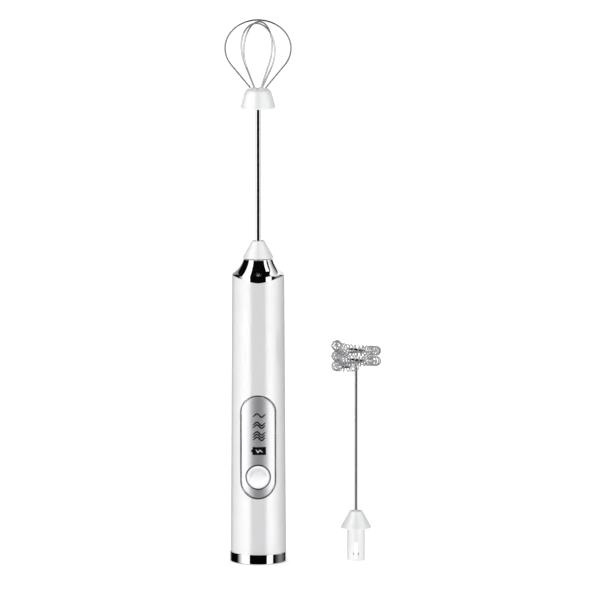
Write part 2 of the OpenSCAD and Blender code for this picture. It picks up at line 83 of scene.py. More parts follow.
class Signal:
    """One output socket of a node, with Python operators that add Math nodes."""

    def __init__(self, graph: "Graph", socket: bpy.types.NodeSocket) -> None:
        """Keeps the graph and the socket."""
        self.graph = graph
        self.socket = socket

    def _math(self, operation: str, left: object, right: object) -> "Signal":
        """Returns the result of one Math node."""
        return self.graph.add("ShaderNodeMath", {"operation": operation}, {0: left, 1: right})

    def __add__(self, other: object) -> "Signal":
        """Returns self + other."""
        return self._math("ADD", self, other)

    def __sub__(self, other: object) -> "Signal":
        """Returns self - other."""
        return self._math("SUBTRACT", self, other)

    def __rsub__(self, other: object) -> "Signal":
        """Returns other - self."""
        return self._math("SUBTRACT", other, self)

    def __mul__(self, other: object) -> "Signal":
        """Returns self * other."""
        return self._math("MULTIPLY", self, other)

    def __rmul__(self, other: object) -> "Signal":
        """Returns other * self."""
        return self._math("MULTIPLY", other, self)

    def __truediv__(self, other: object) -> "Signal":
        """Returns self / other."""
        return self._math("DIVIDE", self, other)

    def root(self) -> "Signal":
        """Returns the square root of self."""
        return self._math("SQRT", self, 0.0)

    def sine(self) -> "Signal":
        """Returns the sine of self."""
        return self._math("SINE", self, 0.0)

    def cosine(self) -> "Signal":
        """Returns the cosine of self."""
        return self._math("COSINE", self, 0.0)


class Graph:
    """A node tree of a material, a world or a geometry group, built through one method."""

    def __init__(self, tree: bpy.types.NodeTree) -> None:
        """Keeps the tree and clears it."""
        self.tree = tree
        self.tree.nodes.clear()

    def add(
        self,
        kind: str,
        settings: dict[str, object] | None = None,
        inputs: dict[int | str, object] | None = None,
        output: int | str = 0,
    ) -> Signal:
        """Adds a node.

        Args:
            kind: The node's type name.
            settings: Properties that are set first.
            inputs: Values or Signals by socket name or index.
            output: The socket that is returned.

        Returns:
            The chosen output as a Signal.
        """
        node = self.tree.nodes.new(kind)
        for key, value in (settings or {}).items():
            setattr(node, key, value)
        for key, value in (inputs or {}).items():
            socket = node.inputs[key]
            if isinstance(value, Signal):
                self.tree.links.new(value.socket, socket)
            else:
                socket.default_value = value
        shown = node.outputs[output] if len(node.outputs) else None
        return Signal(self, shown)

    def blend(self, factor: Signal, first: object, second: object) -> Signal:
        """Returns the mix of two colours by a factor."""
        return self.add("ShaderNodeMix", {"data_type": "RGBA"}, {0: factor, 6: first, 7: second}, 2)

    def spread(self, value: Signal, low: float, high: float) -> Signal:
        """Returns a 0 to 1 value stretched over low to high."""
        return value * (high - low) + low


# ---------------------------------------------------------------------------------------------
# Finishes
# ---------------------------------------------------------------------------------------------


@dataclass(frozen=True)
class Finish:
    """A surface finish with a fine procedural variation over Object coordinates.

    Attributes:
        name: The material's name.
        base: The main colour.
        shade: The colour that the variation leans towards.
        rough: Lowest and highest roughness.
        metal: Metallic value.
        grain_mm: Size of the pattern along each axis.
        bump_mm: Height of the fine relief.
        bump_scale_mm: Size of the fine relief.
        specular: Specular level.
        detail: Octaves of the pattern.
    """

    name: str
    base: Colour
    shade: Colour
    rough: Pair
    metal: float = 0.0
    grain_mm: Triple = (6.0, 6.0, 6.0)
    bump_mm: float = 0.0
    bump_scale_mm: Triple = (0.5, 0.5, 0.5)
    specular: float = 0.5
    detail: float = 3.0

    def _noise(self, graph: Graph, place: Signal, size: Triple, detail: float) -> Signal:
        """Returns a noise value whose features have the given size in millimetres."""
        scaled = graph.add(
            "ShaderNodeMapping",
            {"vector_type": "POINT"},
            {"Vector": place, "Scale": tuple(1.0 / (s * MM) for s in size)},
        )
        return graph.add(
            "ShaderNodeTexNoise",
            {"noise_dimensions": "3D"},
            {"Vector": scaled, "Scale": 1.0, "Detail": detail, "Roughness": 0.55},
            "Fac",
        )

    def build(self) -> bpy.types.Material:
        """Returns the material, made once for each name."""
        known = bpy.data.materials.get(self.name)
        if known:
            return known
        material = bpy.data.materials.new(self.name)
        material.use_nodes = True
        graph = Graph(material.node_tree)
        place = graph.add("ShaderNodeTexCoord", output="Object")
        pattern = self._noise(graph, place, self.grain_mm, self.detail)
        contrast = graph.add(
            "ShaderNodeMapRange", {"clamp": True}, {0: pattern, 1: 0.3, 2: 0.7, 3: 0.0, 4: 1.0}
        )
        inputs: dict[int | str, object] = {
            "Base Color": graph.blend(contrast, self.base, self.shade),
            "Roughness": graph.spread(contrast, self.rough[0], self.rough[1]),
            "Metallic": self.metal,
            "Specular IOR Level": self.specular,
        }
        if self.bump_mm > 0:
            relief = self._noise(graph, place, self.bump_scale_mm, 2.0)
            inputs["Normal"] = graph.add(
                "ShaderNodeBump",
                None,
                {"Height": relief, "Distance": self.bump_mm * MM, "Strength": 1.0},
            )
        surface = graph.add("ShaderNodeBsdfPrincipled", None, inputs)
        graph.add("ShaderNodeOutputMaterial", None, {"Surface": surface})
        return material


class Look(Enum):
    """The finishes of this object, by the part that wears them."""

    SHELL = Finish(
        "gloss_white_shell", rgb(0.735, 0.735, 0.745), rgb(0.722, 0.722, 0.732), (0.20, 0.24),
        grain_mm=(9, 9, 14), bump_mm=0.002, bump_scale_mm=(1.2, 1.2, 1.2),
    )
    WHITE_PART = Finish(
        "satin_white_part", rgb(0.865, 0.87, 0.87), rgb(0.835, 0.842, 0.842), (0.30, 0.38),
        grain_mm=(3, 3, 4), bump_mm=0.004, bump_scale_mm=(0.35, 0.35, 0.35),
    )
    BUTTON = Finish(
        "pearl_button", rgb(0.775, 0.775, 0.785), rgb(0.755, 0.755, 0.765), (0.22, 0.28),
        grain_mm=(2, 2, 2), bump_mm=0.002, bump_scale_mm=(0.3, 0.3, 0.3),
    )
    CHROME = Finish(
        "bright_plating", rgb(0.92, 0.925, 0.93), rgb(0.88, 0.885, 0.895), (0.025, 0.06), metal=1.0,
        grain_mm=(4, 4, 4),
    )
    PLATE = Finish(
        "brushed_plate", rgb(0.74, 0.74, 0.75), rgb(0.62, 0.62, 0.635), (0.22, 0.34), metal=1.0,
        grain_mm=(9, 9, 0.09), bump_mm=0.006, bump_scale_mm=(6, 6, 0.06), detail=5.0,
    )
    GLOSS_BLACK = Finish(
        "gloss_black_trim", rgb(0.012, 0.012, 0.013), rgb(0.02, 0.02, 0.021), (0.18, 0.26), bump_mm=0.002
    )
    SEAL = Finish(
        "glossy_grey_seal", rgb(0.05, 0.05, 0.05), rgb(0.065, 0.065, 0.065), (0.16, 0.22),
        grain_mm=(1, 1, 1),
    )
    RUBBER = Finish(
        "soft_black_rubber", rgb(0.012, 0.012, 0.012), rgb(0.022, 0.022, 0.023), (0.55, 0.7),
        grain_mm=(1, 1, 1), bump_mm=0.01, bump_scale_mm=(0.15, 0.15, 0.15),
    )
    INK = Finish(
        "printed_ink", rgb(0.002, 0.002, 0.002), rgb(0.006, 0.006, 0.006), (0.4, 0.55),
        grain_mm=(0.4, 0.4, 0.4), specular=0.15,
    )
    PALE_INK = Finish(
        "pale_ink", rgb(0.8, 0.8, 0.8), rgb(0.65, 0.65, 0.65), (0.4, 0.5), grain_mm=(0.4, 0.4, 0.4)
    )
    STEEL = Finish(
        "drawn_steel", rgb(0.86, 0.86, 0.87), rgb(0.80, 0.80, 0.815), (0.05, 0.09), metal=1.0,
        grain_mm=(1, 1, 16),
    )
    # The whisk's three loops are one wire. The front loop's finish is that wire painted darker (painted
    # shade), and the inner loops' finish is that wire painted lighter (painted light).
    FRONT_LOOP_PAINTED_SHADE = Finish(
        "front_loop_painted_shade", rgb(0.70, 0.70, 0.71), rgb(0.58, 0.58, 0.6), (0.08, 0.16), metal=1.0,
        grain_mm=(1, 1, 1),
    )
    INNER_LOOP_PAINTED_LIGHT = Finish(
        "inner_loop_painted_light", rgb(0.80, 0.80, 0.81), rgb(0.68, 0.68, 0.7), (0.08, 0.16), metal=1.0,
        grain_mm=(1, 1, 1),
    )
    COIL_WIRE = Finish(
        "coil_wire", rgb(0.74, 0.74, 0.75), rgb(0.60, 0.60, 0.62), (0.08, 0.16), metal=1.0,
        grain_mm=(1, 1, 1),
    )
    SHEET_STEEL = Finish(
        "nickelled_sheet", rgb(0.55, 0.55, 0.56), rgb(0.45, 0.45, 0.47), (0.22, 0.34), metal=1.0,
        grain_mm=(5, 5, 1),
    )
    GOLD = Finish(
        "contact_gold", rgb(0.80, 0.58, 0.24), rgb(0.7, 0.48, 0.18), (0.18, 0.28), metal=1.0,
        grain_mm=(1, 1, 1),
    )
    CHASSIS = Finish(
        "grey_chassis", rgb(0.30, 0.31, 0.33), rgb(0.25, 0.26, 0.28), (0.5, 0.62), bump_mm=0.01
    )
    BOARD = Finish(
        "solder_mask", rgb(0.02, 0.17, 0.07), rgb(0.015, 0.12, 0.05), (0.3, 0.42), grain_mm=(2, 2, 2)
    )
    CHIP = Finish(
        "chip_package", rgb(0.02, 0.02, 0.021), rgb(0.035, 0.035, 0.036), (0.5, 0.65),
        grain_mm=(0.6, 0.6, 0.6),
    )
    LENS = Finish("led_lens", rgb(0.9, 0.88, 0.6), rgb(0.85, 0.82, 0.5), (0.1, 0.18), grain_mm=(1, 1, 1))
    MILKY = Finish("milky_guide", rgb(0.82, 0.86, 0.86), rgb(0.76, 0.8, 0.8), (0.2, 0.3))
    CERAMIC = Finish(
        "ceramic_parts", rgb(0.45, 0.33, 0.18), rgb(0.35, 0.25, 0.14), (0.5, 0.6),
        grain_mm=(0.8, 0.8, 0.8),
    )
    IVORY = Finish("ivory_moulding", rgb(0.78, 0.73, 0.58), rgb(0.7, 0.65, 0.5), (0.42, 0.55))
    FERRITE = Finish(
        "ferrite", rgb(0.05, 0.05, 0.055), rgb(0.09, 0.09, 0.09), (0.55, 0.7), grain_mm=(1, 1, 1)
    )
    BRONZE = Finish(
        "sintered_bronze", rgb(0.45, 0.27, 0.11), rgb(0.35, 0.2, 0.08), (0.35, 0.5), metal=1.0,
        grain_mm=(0.5, 0.5, 0.5),
    )
    CARBON = Finish(
        "graphite", rgb(0.03, 0.03, 0.033), rgb(0.06, 0.06, 0.062), (0.5, 0.65), grain_mm=(0.4, 0.4, 0.4)
    )
    BRASS = Finish(
        "brass_strip", rgb(0.72, 0.52, 0.2), rgb(0.6, 0.42, 0.15), (0.2, 0.32), metal=1.0,
        grain_mm=(2, 2, 2),
    )
    COPPER = Finish(
        "enamelled_copper", rgb(0.6, 0.24, 0.09), rgb(0.45, 0.16, 0.05), (0.25, 0.38), metal=1.0,
        grain_mm=(3, 3, 0.3),
    )
    SLEEVE = Finish(
        "cell_sleeve", rgb(0.05, 0.12, 0.42), rgb(0.04, 0.1, 0.36), (0.25, 0.35), grain_mm=(6, 6, 2)
    )
    FOAM = Finish(
        "foam_pad", rgb(0.3, 0.32, 0.36), rgb(0.2, 0.22, 0.25), (0.85, 0.95), grain_mm=(0.5, 0.5, 0.5),
        bump_mm=0.08,
    )
    LEAD = Finish(
        "lead_insulation", rgb(0.4, 0.02, 0.02), rgb(0.32, 0.015, 0.015), (0.4, 0.5), grain_mm=(2, 2, 2)
    )


# ---------------------------------------------------------------------------------------------
# Mesh making
# ---------------------------------------------------------------------------------------------


def rounded(corners: Sequence[tuple[float, ...]], steps: int = 4) -> list[Pair]:
    """Rounds the corners of a closed outline.

    Args:
        corners: Points as (x, y) or (x, y, radius).
        steps: Number of short edges in each round.

    Returns:
        The outline with arcs, and a point just outside each arc that keeps the flats flat.
    """
    out: list[Pair] = []
    count = len(corners)
    for i, corner in enumerate(corners):
        here = Vector(corner[:2])
        radius = corner[2] if len(corner) > 2 else 0.0
        if radius <= 0:
            out.append((here.x, here.y))
            continue
        before = (Vector(corners[i - 1][:2]) - here).normalized()
        after = (Vector(corners[(i + 1) % count][:2]) - here).normalized()
        half = before.angle(after) / 2
        reach = radius / math.tan(half)
        centre = here + (before + after).normalized() * radius / math.sin(half)
        start = here + before * reach
        end = here + after * reach
        first = start - centre
        sweep = first.angle_signed(end - centre)
        hold = radius * 0.2
        out.append(tuple(here + before * (reach + hold)))
        for k in range(steps + 1):
            turn = -sweep * k / steps
            out.append(
                (
                    centre.x + first.x * math.cos(turn) - first.y * math.sin(turn),
                    centre.y + first.x * math.sin(turn) + first.y * math.cos(turn),
                )
            )
        out.append(tuple(here + after * (reach + hold)))
    return out


def arc_through(low: Pair, mid: Pair, top: Pair, steps: int) -> list[Pair]:
    """Returns points along the circle arc from low through mid to top, both ends included."""
    a, b, c = Vector(low), Vector(mid), Vector(top)
    ab, ac = b - a, c - a
    den = 2 * (ab.x * ac.y - ab.y * ac.x)
    centre = a + Vector(
        (
            (ac.y * ab.length_squared - ab.y * ac.length_squared) / den,
            (ab.x * ac.length_squared - ac.x * ab.length_squared) / den,
        )
    )
    first = a - centre
    sweep = -first.angle_signed(c - centre)
    return [
        (
            centre.x + first.x * math.cos(sweep * k / steps) - first.y * math.sin(sweep * k / steps),
            centre.y + first.x * math.sin(sweep * k / steps) + first.y * math.cos(sweep * k / steps),
        )
        for k in range(steps + 1)
    ]


def stadium_path(width: float, height: float, arc_steps: int, side_steps: int) -> list[tuple[Pair, Pair]]:
    """Walks round an upright stadium.

    Args:
        width: Overall width.
        height: Overall height.
        arc_steps: Steps in each half circle.
        side_steps: Steps in each straight side.

    Returns:
        Points with their outward directions, anticlockwise from the right side's foot.
    """
    radius, straight = width / 2, height / 2 - width / 2
    path: list[tuple[Pair, Pair]] = []
    for k in range(side_steps):
        path.append(((radius, -straight + 2 * straight * k / side_steps), (1.0, 0.0)))
    for k in range(arc_steps):
        a = math.pi * k / arc_steps
        path.append(((radius * math.cos(a), straight + radius * math.sin(a)), (math.cos(a), math.sin(a))))
    for k in range(side_steps):
        path.append(((-radius, straight - 2 * straight * k / side_steps), (-1.0, 0.0)))
    for k in range(arc_steps):
        a = math.pi + math.pi * k / arc_steps
        path.append(((radius * math.cos(a), -straight + radius * math.sin(a)), (math.cos(a), math.sin(a))))
    return path


def mix(first: Sequence[float], second: Sequence[float], share: float) -> tuple[float, ...]:
    """Returns the point that lies a share of the way from first to second."""
    return tuple(a + (b - a) * share for a, b in zip(first, second))


def metres(points: Sequence[Triple]) -> list[Triple]:
    """Returns points given in millimetres in metres."""
    return [tuple(c * MM for c in point) for point in points]


def quads(rows: int, size: int, loop_rows: bool = False, loop_size: bool = True) -> list[list[int]]:
    """Returns the faces between neighbouring rows of equally many points.

    Args:
        rows: Number of rows.
        size: Number of points in a row.
        loop_rows: Whether the last row joins the first.
        loop_size: Whether the last point of a row joins its first.

    Returns:
        The point numbers of each face.
    """
    faces: list[list[int]] = []
    for i in range(rows if loop_rows else rows - 1):
        here, there = i * size, (i + 1) % rows * size
        for j in range(size if loop_size else size - 1):
            n = (j + 1) % size
            faces.append([here + j, here + n, there + n, there + j])
    return faces


def capped(rows: int) -> list[list[int]]:
    """Returns the faces of a closed bar whose rows have four points each."""
    last = rows * 4
    return quads(rows, 4) + [[0, 1, 2, 3], [last - 1, last - 2, last - 3, last - 4]]


def merged(*shapes: Shape) -> Shape:
    """Returns several shapes as one."""
    points: list[Triple] = []
    faces: list[list[int]] = []
    for more, sides in shapes:
        faces += [[i + len(points) for i in side] for side in sides]
        points += more
    return points, faces


def circle_path(radius: float, steps: int, height: float = 0.0, turn: float = 0.5) -> list[Pair]:
    """Returns the points of a circle round (0, height), starting a share of one step from the right."""
    angles = (2 * math.pi * (k + turn) / steps for k in range(steps))
    return [(radius * math.cos(a), height + radius * math.sin(a)) for a in angles]


class Gloss(Enum):
    """Groups of pieces that each have their own reflection cards."""

    # LOOP gathers the inner whisk loops, whose finish is the loop wire painted lighter.
    METAL = "bright_metal"
    WIRE = "drawn_shafts"
    LOOP = "inner_loops"
    COIL = "wound_wire"
    PLATE = "brushed_metal"
    PLASTIC = "glossy_plastic"
    SATIN = "satin_plastic"
    SEAL = "glossy_seal"
    BUTTON = "button_cap"
    PRINT = "matt_print"

    def members(self) -> bpy.types.Collection:
        """Returns the collection of the group's pieces."""
        return bpy.data.collections.get(self.value) or bpy.data.collections.new(self.value)

    @classmethod
    def of(cls, look: Look) -> "Gloss":
        """Returns the group that a finish belongs to."""
        special = {
            Look.PLATE: cls.PLATE,
            Look.BUTTON: cls.BUTTON,
            Look.STEEL: cls.WIRE,
            Look.INNER_LOOP_PAINTED_LIGHT: cls.LOOP,
            Look.COIL_WIRE: cls.COIL,
            Look.WHITE_PART: cls.SATIN,
            Look.SEAL: cls.SEAL,
            Look.INK: cls.PRINT,
        }
        return special.get(look, cls.METAL if look.value.metal > 0.5 else cls.PLASTIC)


class Maker:
    """Makes and finishes mesh objects."""

    SMOOTH_DEG = 32.0

    @staticmethod
    def from_data(name: str, points: Sequence[Triple], faces: Sequence[Sequence[int]]) -> bpy.types.Object:
        """Makes a closed mesh object.

        Args:
            name: The piece's name.
            points: Vertices in millimetres.
            faces: Vertex numbers of each face.

        Returns:
            The object, with doubles merged and its faces turned outwards.
        """
        mesh = bpy.data.meshes.new(name)
        mesh.from_pydata(metres(points), [], [tuple(f) for f in faces])
        Maker.weld(mesh, 1e-7)
        item = bpy.data.objects.new(name, mesh)
        bpy.context.scene.collection.objects.link(item)
        return item

    @staticmethod
    def weld(mesh: bpy.types.Mesh, reach: float) -> None:
        """Merges points closer than reach, in metres, and turns the faces outwards."""
        shape = bmesh.new()
        shape.from_mesh(mesh)
        bmesh.ops.remove_doubles(shape, verts=shape.verts, dist=reach)
        bmesh.ops.dissolve_degenerate(shape, dist=reach / 10, edges=shape.edges)
        bmesh.ops.recalc_face_normals(shape, faces=shape.faces)
        shape.to_mesh(mesh)
        shape.free()

    @classmethod
    def revolve(cls, name: str, outline: Sequence[Pair], segments: int = 128) -> bpy.types.Object:
        """Turns a closed outline of (radius, height) points about the Z axis.

        Args:
            name: The piece's name.
            outline: The outline in millimetres; points on the axis become poles.
            segments: Number of steps round the axis.

        Returns:
            The closed mesh object.
        """
        points: list[Triple] = []
        rings: list[list[int]] = []
        for radius, height in outline:
            count = 1 if radius < 1e-6 else segments
            rings.append(list(range(len(points), len(points) + count)))
            for k in range(count):
                a = 2 * math.pi * (k + 0.5) / segments
                points.append((radius * math.cos(a), radius * math.sin(a), height))
        faces: list[list[int]] = []
        for i, ring in enumerate(rings):
            other = rings[(i + 1) % len(rings)]
            if len(ring) == 1 and len(other) == 1:
                continue
            for k in range(segments):
                n = (k + 1) % segments
                corners = ((ring, k), (ring, n), (other, n), (other, k))
                faces.append(list(dict.fromkeys(line[j % len(line)] for line, j in corners)))
        return cls.from_data(name, points, faces)

    @classmethod
    def prism(cls, name: str, outline: Sequence[Pair], near: float, far: float) -> bpy.types.Object:
        """Stretches an outline of (x, z) points along Y between two distances."""
        count = len(outline)
        points = [(x, near, z) for x, z in outline] + [(x, far, z) for x, z in outline]
        faces: list[list[int]] = [list(range(count)), list(range(2 * count - 1, count - 1, -1))]
        faces += [[k, (k + 1) % count, count + (k + 1) % count, count + k] for k in range(count)]
        return cls.from_data(name, points, faces)

    @classmethod
    def band(
        cls,
        name: str,
        path: Sequence[tuple[Pair, Pair]],
        section: Sequence[Pair],
        place: Callable[[float, float, float], Triple],
        solid: bool = False,
    ) -> bpy.types.Object:
        """Sweeps a closed section of (offset, lift) points round a closed path that lies on a surface.

        Args:
            name: The piece's name.
            path: Points and outward directions in the surface's own plane.
            section: Offsets across the path and lifts above the surface.
            place: Gives the point in space for an (x, z) point and a lift.
            solid: Whether the section's two ends meet those of the other side in the middle.

        Returns:
            The closed mesh object.
        """
        points = [
            place(p[0] + offset * d[0], p[1] + offset * d[1], lift)
            for p, d in path
            for offset, lift in section
        ]
        return cls.from_data(name, points, quads(len(path), len(section), True, not solid))

    @staticmethod
    def bake(item: bpy.types.Object) -> None:
        """Turns the object's modifiers into its mesh."""
        graph = bpy.context.evaluated_depsgraph_get()
        mesh = bpy.data.meshes.new_from_object(item.evaluated_get(graph))
        old = item.data
        item.modifiers.clear()
        item.data = mesh
        mesh.name = item.name
        bpy.data.meshes.remove(old)

    @classmethod
    def cut(cls, item: bpy.types.Object, tool: bpy.types.Object) -> None:
        """Takes a tool object's shape away from the item and removes the tool."""
        change = item.modifiers.new("cut", "BOOLEAN")
        change.operation = "DIFFERENCE"
        change.solver = "EXACT"
        change.object = tool
        cls.bake(item)
        cls.weld(item.data, 1e-6)
        mesh = tool.data
        bpy.data.objects.remove(tool)
        bpy.data.meshes.remove(mesh)

    @classmethod
    def smooth(cls, item: bpy.types.Object, limit_deg: float = SMOOTH_DEG) -> None:
        """Shades the mesh smooth with sharp edges above an angle."""
        mesh = item.data
        mesh.polygons.foreach_set("use_smooth", [True] * len(mesh.polygons))
        mesh.set_sharp_from_angle(angle=math.radians(limit_deg))

    @staticmethod
    def aim_normals(
        item: bpy.types.Object, exact: Callable[[Vector], Vector | None], limit: float = 0.9
    ) -> None:
        """Gives the corners on a known surface that surface's own normals.

        Args:
            item: The object, shaded smooth already.
            exact: Gives the surface's normal at a point in metres, or None off the surface.
            limit: Lowest cosine between a face and the surface's normal.
        """
        mesh = item.data
        normals = [Vector(n.vector) for n in mesh.corner_normals]
        for face in mesh.polygons:
            for corner in face.loop_indices:
                aim = exact(mesh.vertices[mesh.loops[corner].vertex_index].co)
                if aim is not None and aim.dot(face.normal) > limit:
                    normals[corner] = aim
        mesh.normals_split_custom_set([tuple(n) for n in normals])

    @staticmethod
    def dress(item: bpy.types.Object, look: Look) -> None:
        """Gives the whole mesh one finish."""
        item.data.materials.clear()
        item.data.materials.append(look.value.build())
        item.data.polygons.foreach_set("material_index", [0] * len(item.data.polygons))
        Gloss.of(look).members().objects.link(item)

    @classmethod
    def finish(
        cls, item: bpy.types.Object, look: Look, slot: str, body: str, nodes: Sequence[str] = ()
    ) -> bpy.types.Object:
        """Dresses a finished piece and ties it to the frame.

        Args:
            item: The piece.
            look: Its finish.
            slot: The record's material slot; it is not used.
            body: The body that it rides on.
            nodes: The CAD nodes that it stands for.

        Returns:
            The same piece.
        """
        cls.dress(item, look)
        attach(item, body)
        if nodes:
            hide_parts(*nodes)
            cls.report_fit(item, nodes)
        LOG.info("%s: %d faces on %s", item.name, len(item.data.polygons), body)
        return item

    @staticmethod
    def report_fit(item: bpy.types.Object, nodes: Sequence[str]) -> None:
        """Logs how far the piece's box is from that of the nodes that it stands for."""
        points = np.array([v.co for v in item.data.vertices])
        boxes = [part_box(n) for n in nodes]
        low = np.min([b[0] for b in boxes], axis=0)
        high = np.max([b[1] for b in boxes], axis=0)
        gap = max(abs(points.min(0) - low).max(), abs(points.max(0) - high).max()) / MM
        if gap > 0.25:
            LOG.warning("%s is %.2f mm off its CAD box", item.name, gap)


# ---------------------------------------------------------------------------------------------
# Geometry node trees
# ---------------------------------------------------------------------------------------------


class Tree:
    """A Geometry Nodes group with named inputs, used through a modifier."""

    def __init__(self, name: str, sizes: dict[str, float], counts: dict[str, int] | None = None) -> None:
        """Makes the group with its interface.

        Args:
            name: The group's name.
            sizes: Names and default values of its float inputs.
            counts: Names and default values of its integer inputs.
        """
        self.group = bpy.data.node_groups.new(name, "GeometryNodeTree")
        self.sockets: dict[str, str] = {}
        self._socket("Geometry", "NodeSocketGeometry", None)
        for label, value in sizes.items():
            self._socket(label, "NodeSocketFloat", value)
        for label, value in (counts or {}).items():
            self._socket(label, "NodeSocketInt", value)
        self._socket("Finish", "NodeSocketMaterial", None)
        self.group.interface.new_socket("Geometry", in_out="OUTPUT", socket_type="NodeSocketGeometry")
        self.graph = Graph(self.group)
        self.entry = self.group.nodes.new("NodeGroupInput")

    def _socket(self, label: str, kind: str, value: object) -> None:
        """Adds one input and keeps its identifier."""
        socket = self.group.interface.new_socket(label, in_out="INPUT", socket_type=kind)
        if value is not None:
            socket.default_value = value
        self.sockets[label] = socket.identifier

    def given(self, label: str) -> Signal:
        """Returns the group's input of that name."""
        return Signal(self.graph, self.entry.outputs[label])

    def close(self, shape: Signal) -> None:
        """Ends the tree in Realize Instances and Set Material."""
        add = self.graph.add
        solid = add("GeometryNodeRealizeInstances", None, {"Geometry": shape})
        worn = add("GeometryNodeSetMaterial", None, {"Geometry": solid, "Material": self.given("Finish")})
        add("NodeGroupOutput", None, {0: worn})

    def run(self, item: bpy.types.Object, values: dict[str, object], look: Look) -> None:
        """Applies the tree to an object and keeps the result as its plain mesh."""
        change = item.modifiers.new(self.group.name, "NODES")
        change.node_group = self.group
        for label, value in values.items():
            change[self.sockets[label]] = value
        change[self.sockets["Finish"]] = look.value.build()
        Maker.bake(item)


def line_object(name: str, points: Sequence[Triple]) -> bpy.types.Object:
    """Returns an object that is one open polyline through points in millimetres."""
    mesh = bpy.data.meshes.new(name)
    mesh.from_pydata(metres(points), [(i, i + 1) for i in range(len(points) - 1)], [])
    item = bpy.data.objects.new(name, mesh)
    bpy.context.scene.collection.objects.link(item)
    return item


class WireTree(Tree):
    """Turns a polyline into a round wire."""

    def __init__(self) -> None:
        """Builds the nodes."""
        super().__init__("round_wire", {"Wire Radius": 0.0005}, {"Sides": 12})
        line = self.graph.add("GeometryNodeMeshToCurve", None, {"Mesh": self.given("Geometry")})
        self.close(self.sweep(line))

    def sweep(self, line: Signal) -> Signal:
        """Returns the wire swept along a curve."""
        add = self.graph.add
        ring = add(
            "GeometryNodeCurvePrimitiveCircle",
            {"mode": "RADIUS"},
            {"Resolution": self.given("Sides"), "Radius": self.given("Wire Radius")},
        )
        tube = add("GeometryNodeCurveToMesh", None, {"Curve": line, "Profile Curve": ring, "Fill Caps": True})
        return add("GeometryNodeSetShadeSmooth", None, {"Geometry": tube})


class CoilTree(WireTree):
    """Winds a wire round a polyline as a coil spring."""

    def __init__(self) -> None:
        """Builds the nodes."""
        Tree.__init__(
            self,
            "wound_coil",
            {"Wire Radius": 0.0002, "Coil Radius": 0.002, "Pitch": 0.002, "Step": 0.0001},
            {"Sides": 8},
        )
        add = self.graph.add
        line = add("GeometryNodeMeshToCurve", None, {"Mesh": self.given("Geometry")})
        step = {"Curve": line, "Length": self.given("Step")}
        fine = add("GeometryNodeResampleCurve", {"mode": "LENGTH"}, step)
        along = add("GeometryNodeSplineParameter", output="Length")
        turn = along / self.given("Pitch") * (2 * math.pi)
        aside, up = (wave * self.given("Coil Radius") for wave in (turn.cosine(), turn.sine()))
        tangent = add("GeometryNodeInputTangent")
        level = add("ShaderNodeVectorMath", {"operation": "CROSS_PRODUCT"}, {0: tangent, 1: (0.0, 0.0, 1.0)})
        across = add("ShaderNodeVectorMath", {"operation": "NORMALIZE"}, {0: level})
        sideways = add("ShaderNodeVectorMath", {"operation": "SCALE"}, {0: across, "Scale": aside})
        upwards = add("ShaderNodeCombineXYZ", None, {"Z": up})
        offset = add("ShaderNodeVectorMath", {"operation": "ADD"}, {0: sideways, 1: upwards})
        wound = add("GeometryNodeSetPosition", None, {"Geometry": fine, "Offset": offset})
        self.close(self.sweep(wound))


class SignTree(Tree):
    """Repeats a flat sign at given heights and lays it on the tapered front of the handle."""

    def __init__(self) -> None:
        """Builds the nodes; the sign's Y is its lift, and "row" marks the points that place it."""
        super().__init__("laid_signs", {"Radius At Zero": 0.014, "Taper": 0.006})
        add = self.graph.add
        marked = add("GeometryNodeInputNamedAttribute", {"data_type": "BOOLEAN"}, {"Name": "row"})
        split = {0: self.given("Geometry"), 1: marked}
        apart = add("GeometryNodeSeparateGeometry", {"domain": "POINT"}, split)
        rows = Signal(self.graph, apart.socket.node.outputs[0])
        flat = Signal(self.graph, apart.socket.node.outputs[1])
        copies = add("GeometryNodeInstanceOnPoints", None, {"Points": rows, "Instance": flat})
        solid = add("GeometryNodeRealizeInstances", None, {"Geometry": copies})
        spot = add("GeometryNodeInputPosition")
        axes = add("ShaderNodeSeparateXYZ", None, {0: spot}).socket.node.outputs
        x, lift, z = (Signal(self.graph, axes[k]) for k in range(3))
        reach = self.given("Radius At Zero") - z * self.given("Taper") + lift
        depth = (reach * reach - x * x).root() * -1.0
        wrapped = add("ShaderNodeCombineXYZ", None, {"X": x, "Y": depth, "Z": z})
        laid = add("GeometryNodeSetPosition", None, {"Geometry": solid, "Position": wrapped})
        outward = add("GeometryNodeFlipFaces", None, {"Mesh": laid})
        self.close(outward)


# ---------------------------------------------------------------------------------------------
# The handle
# ---------------------------------------------------------------------------------------------


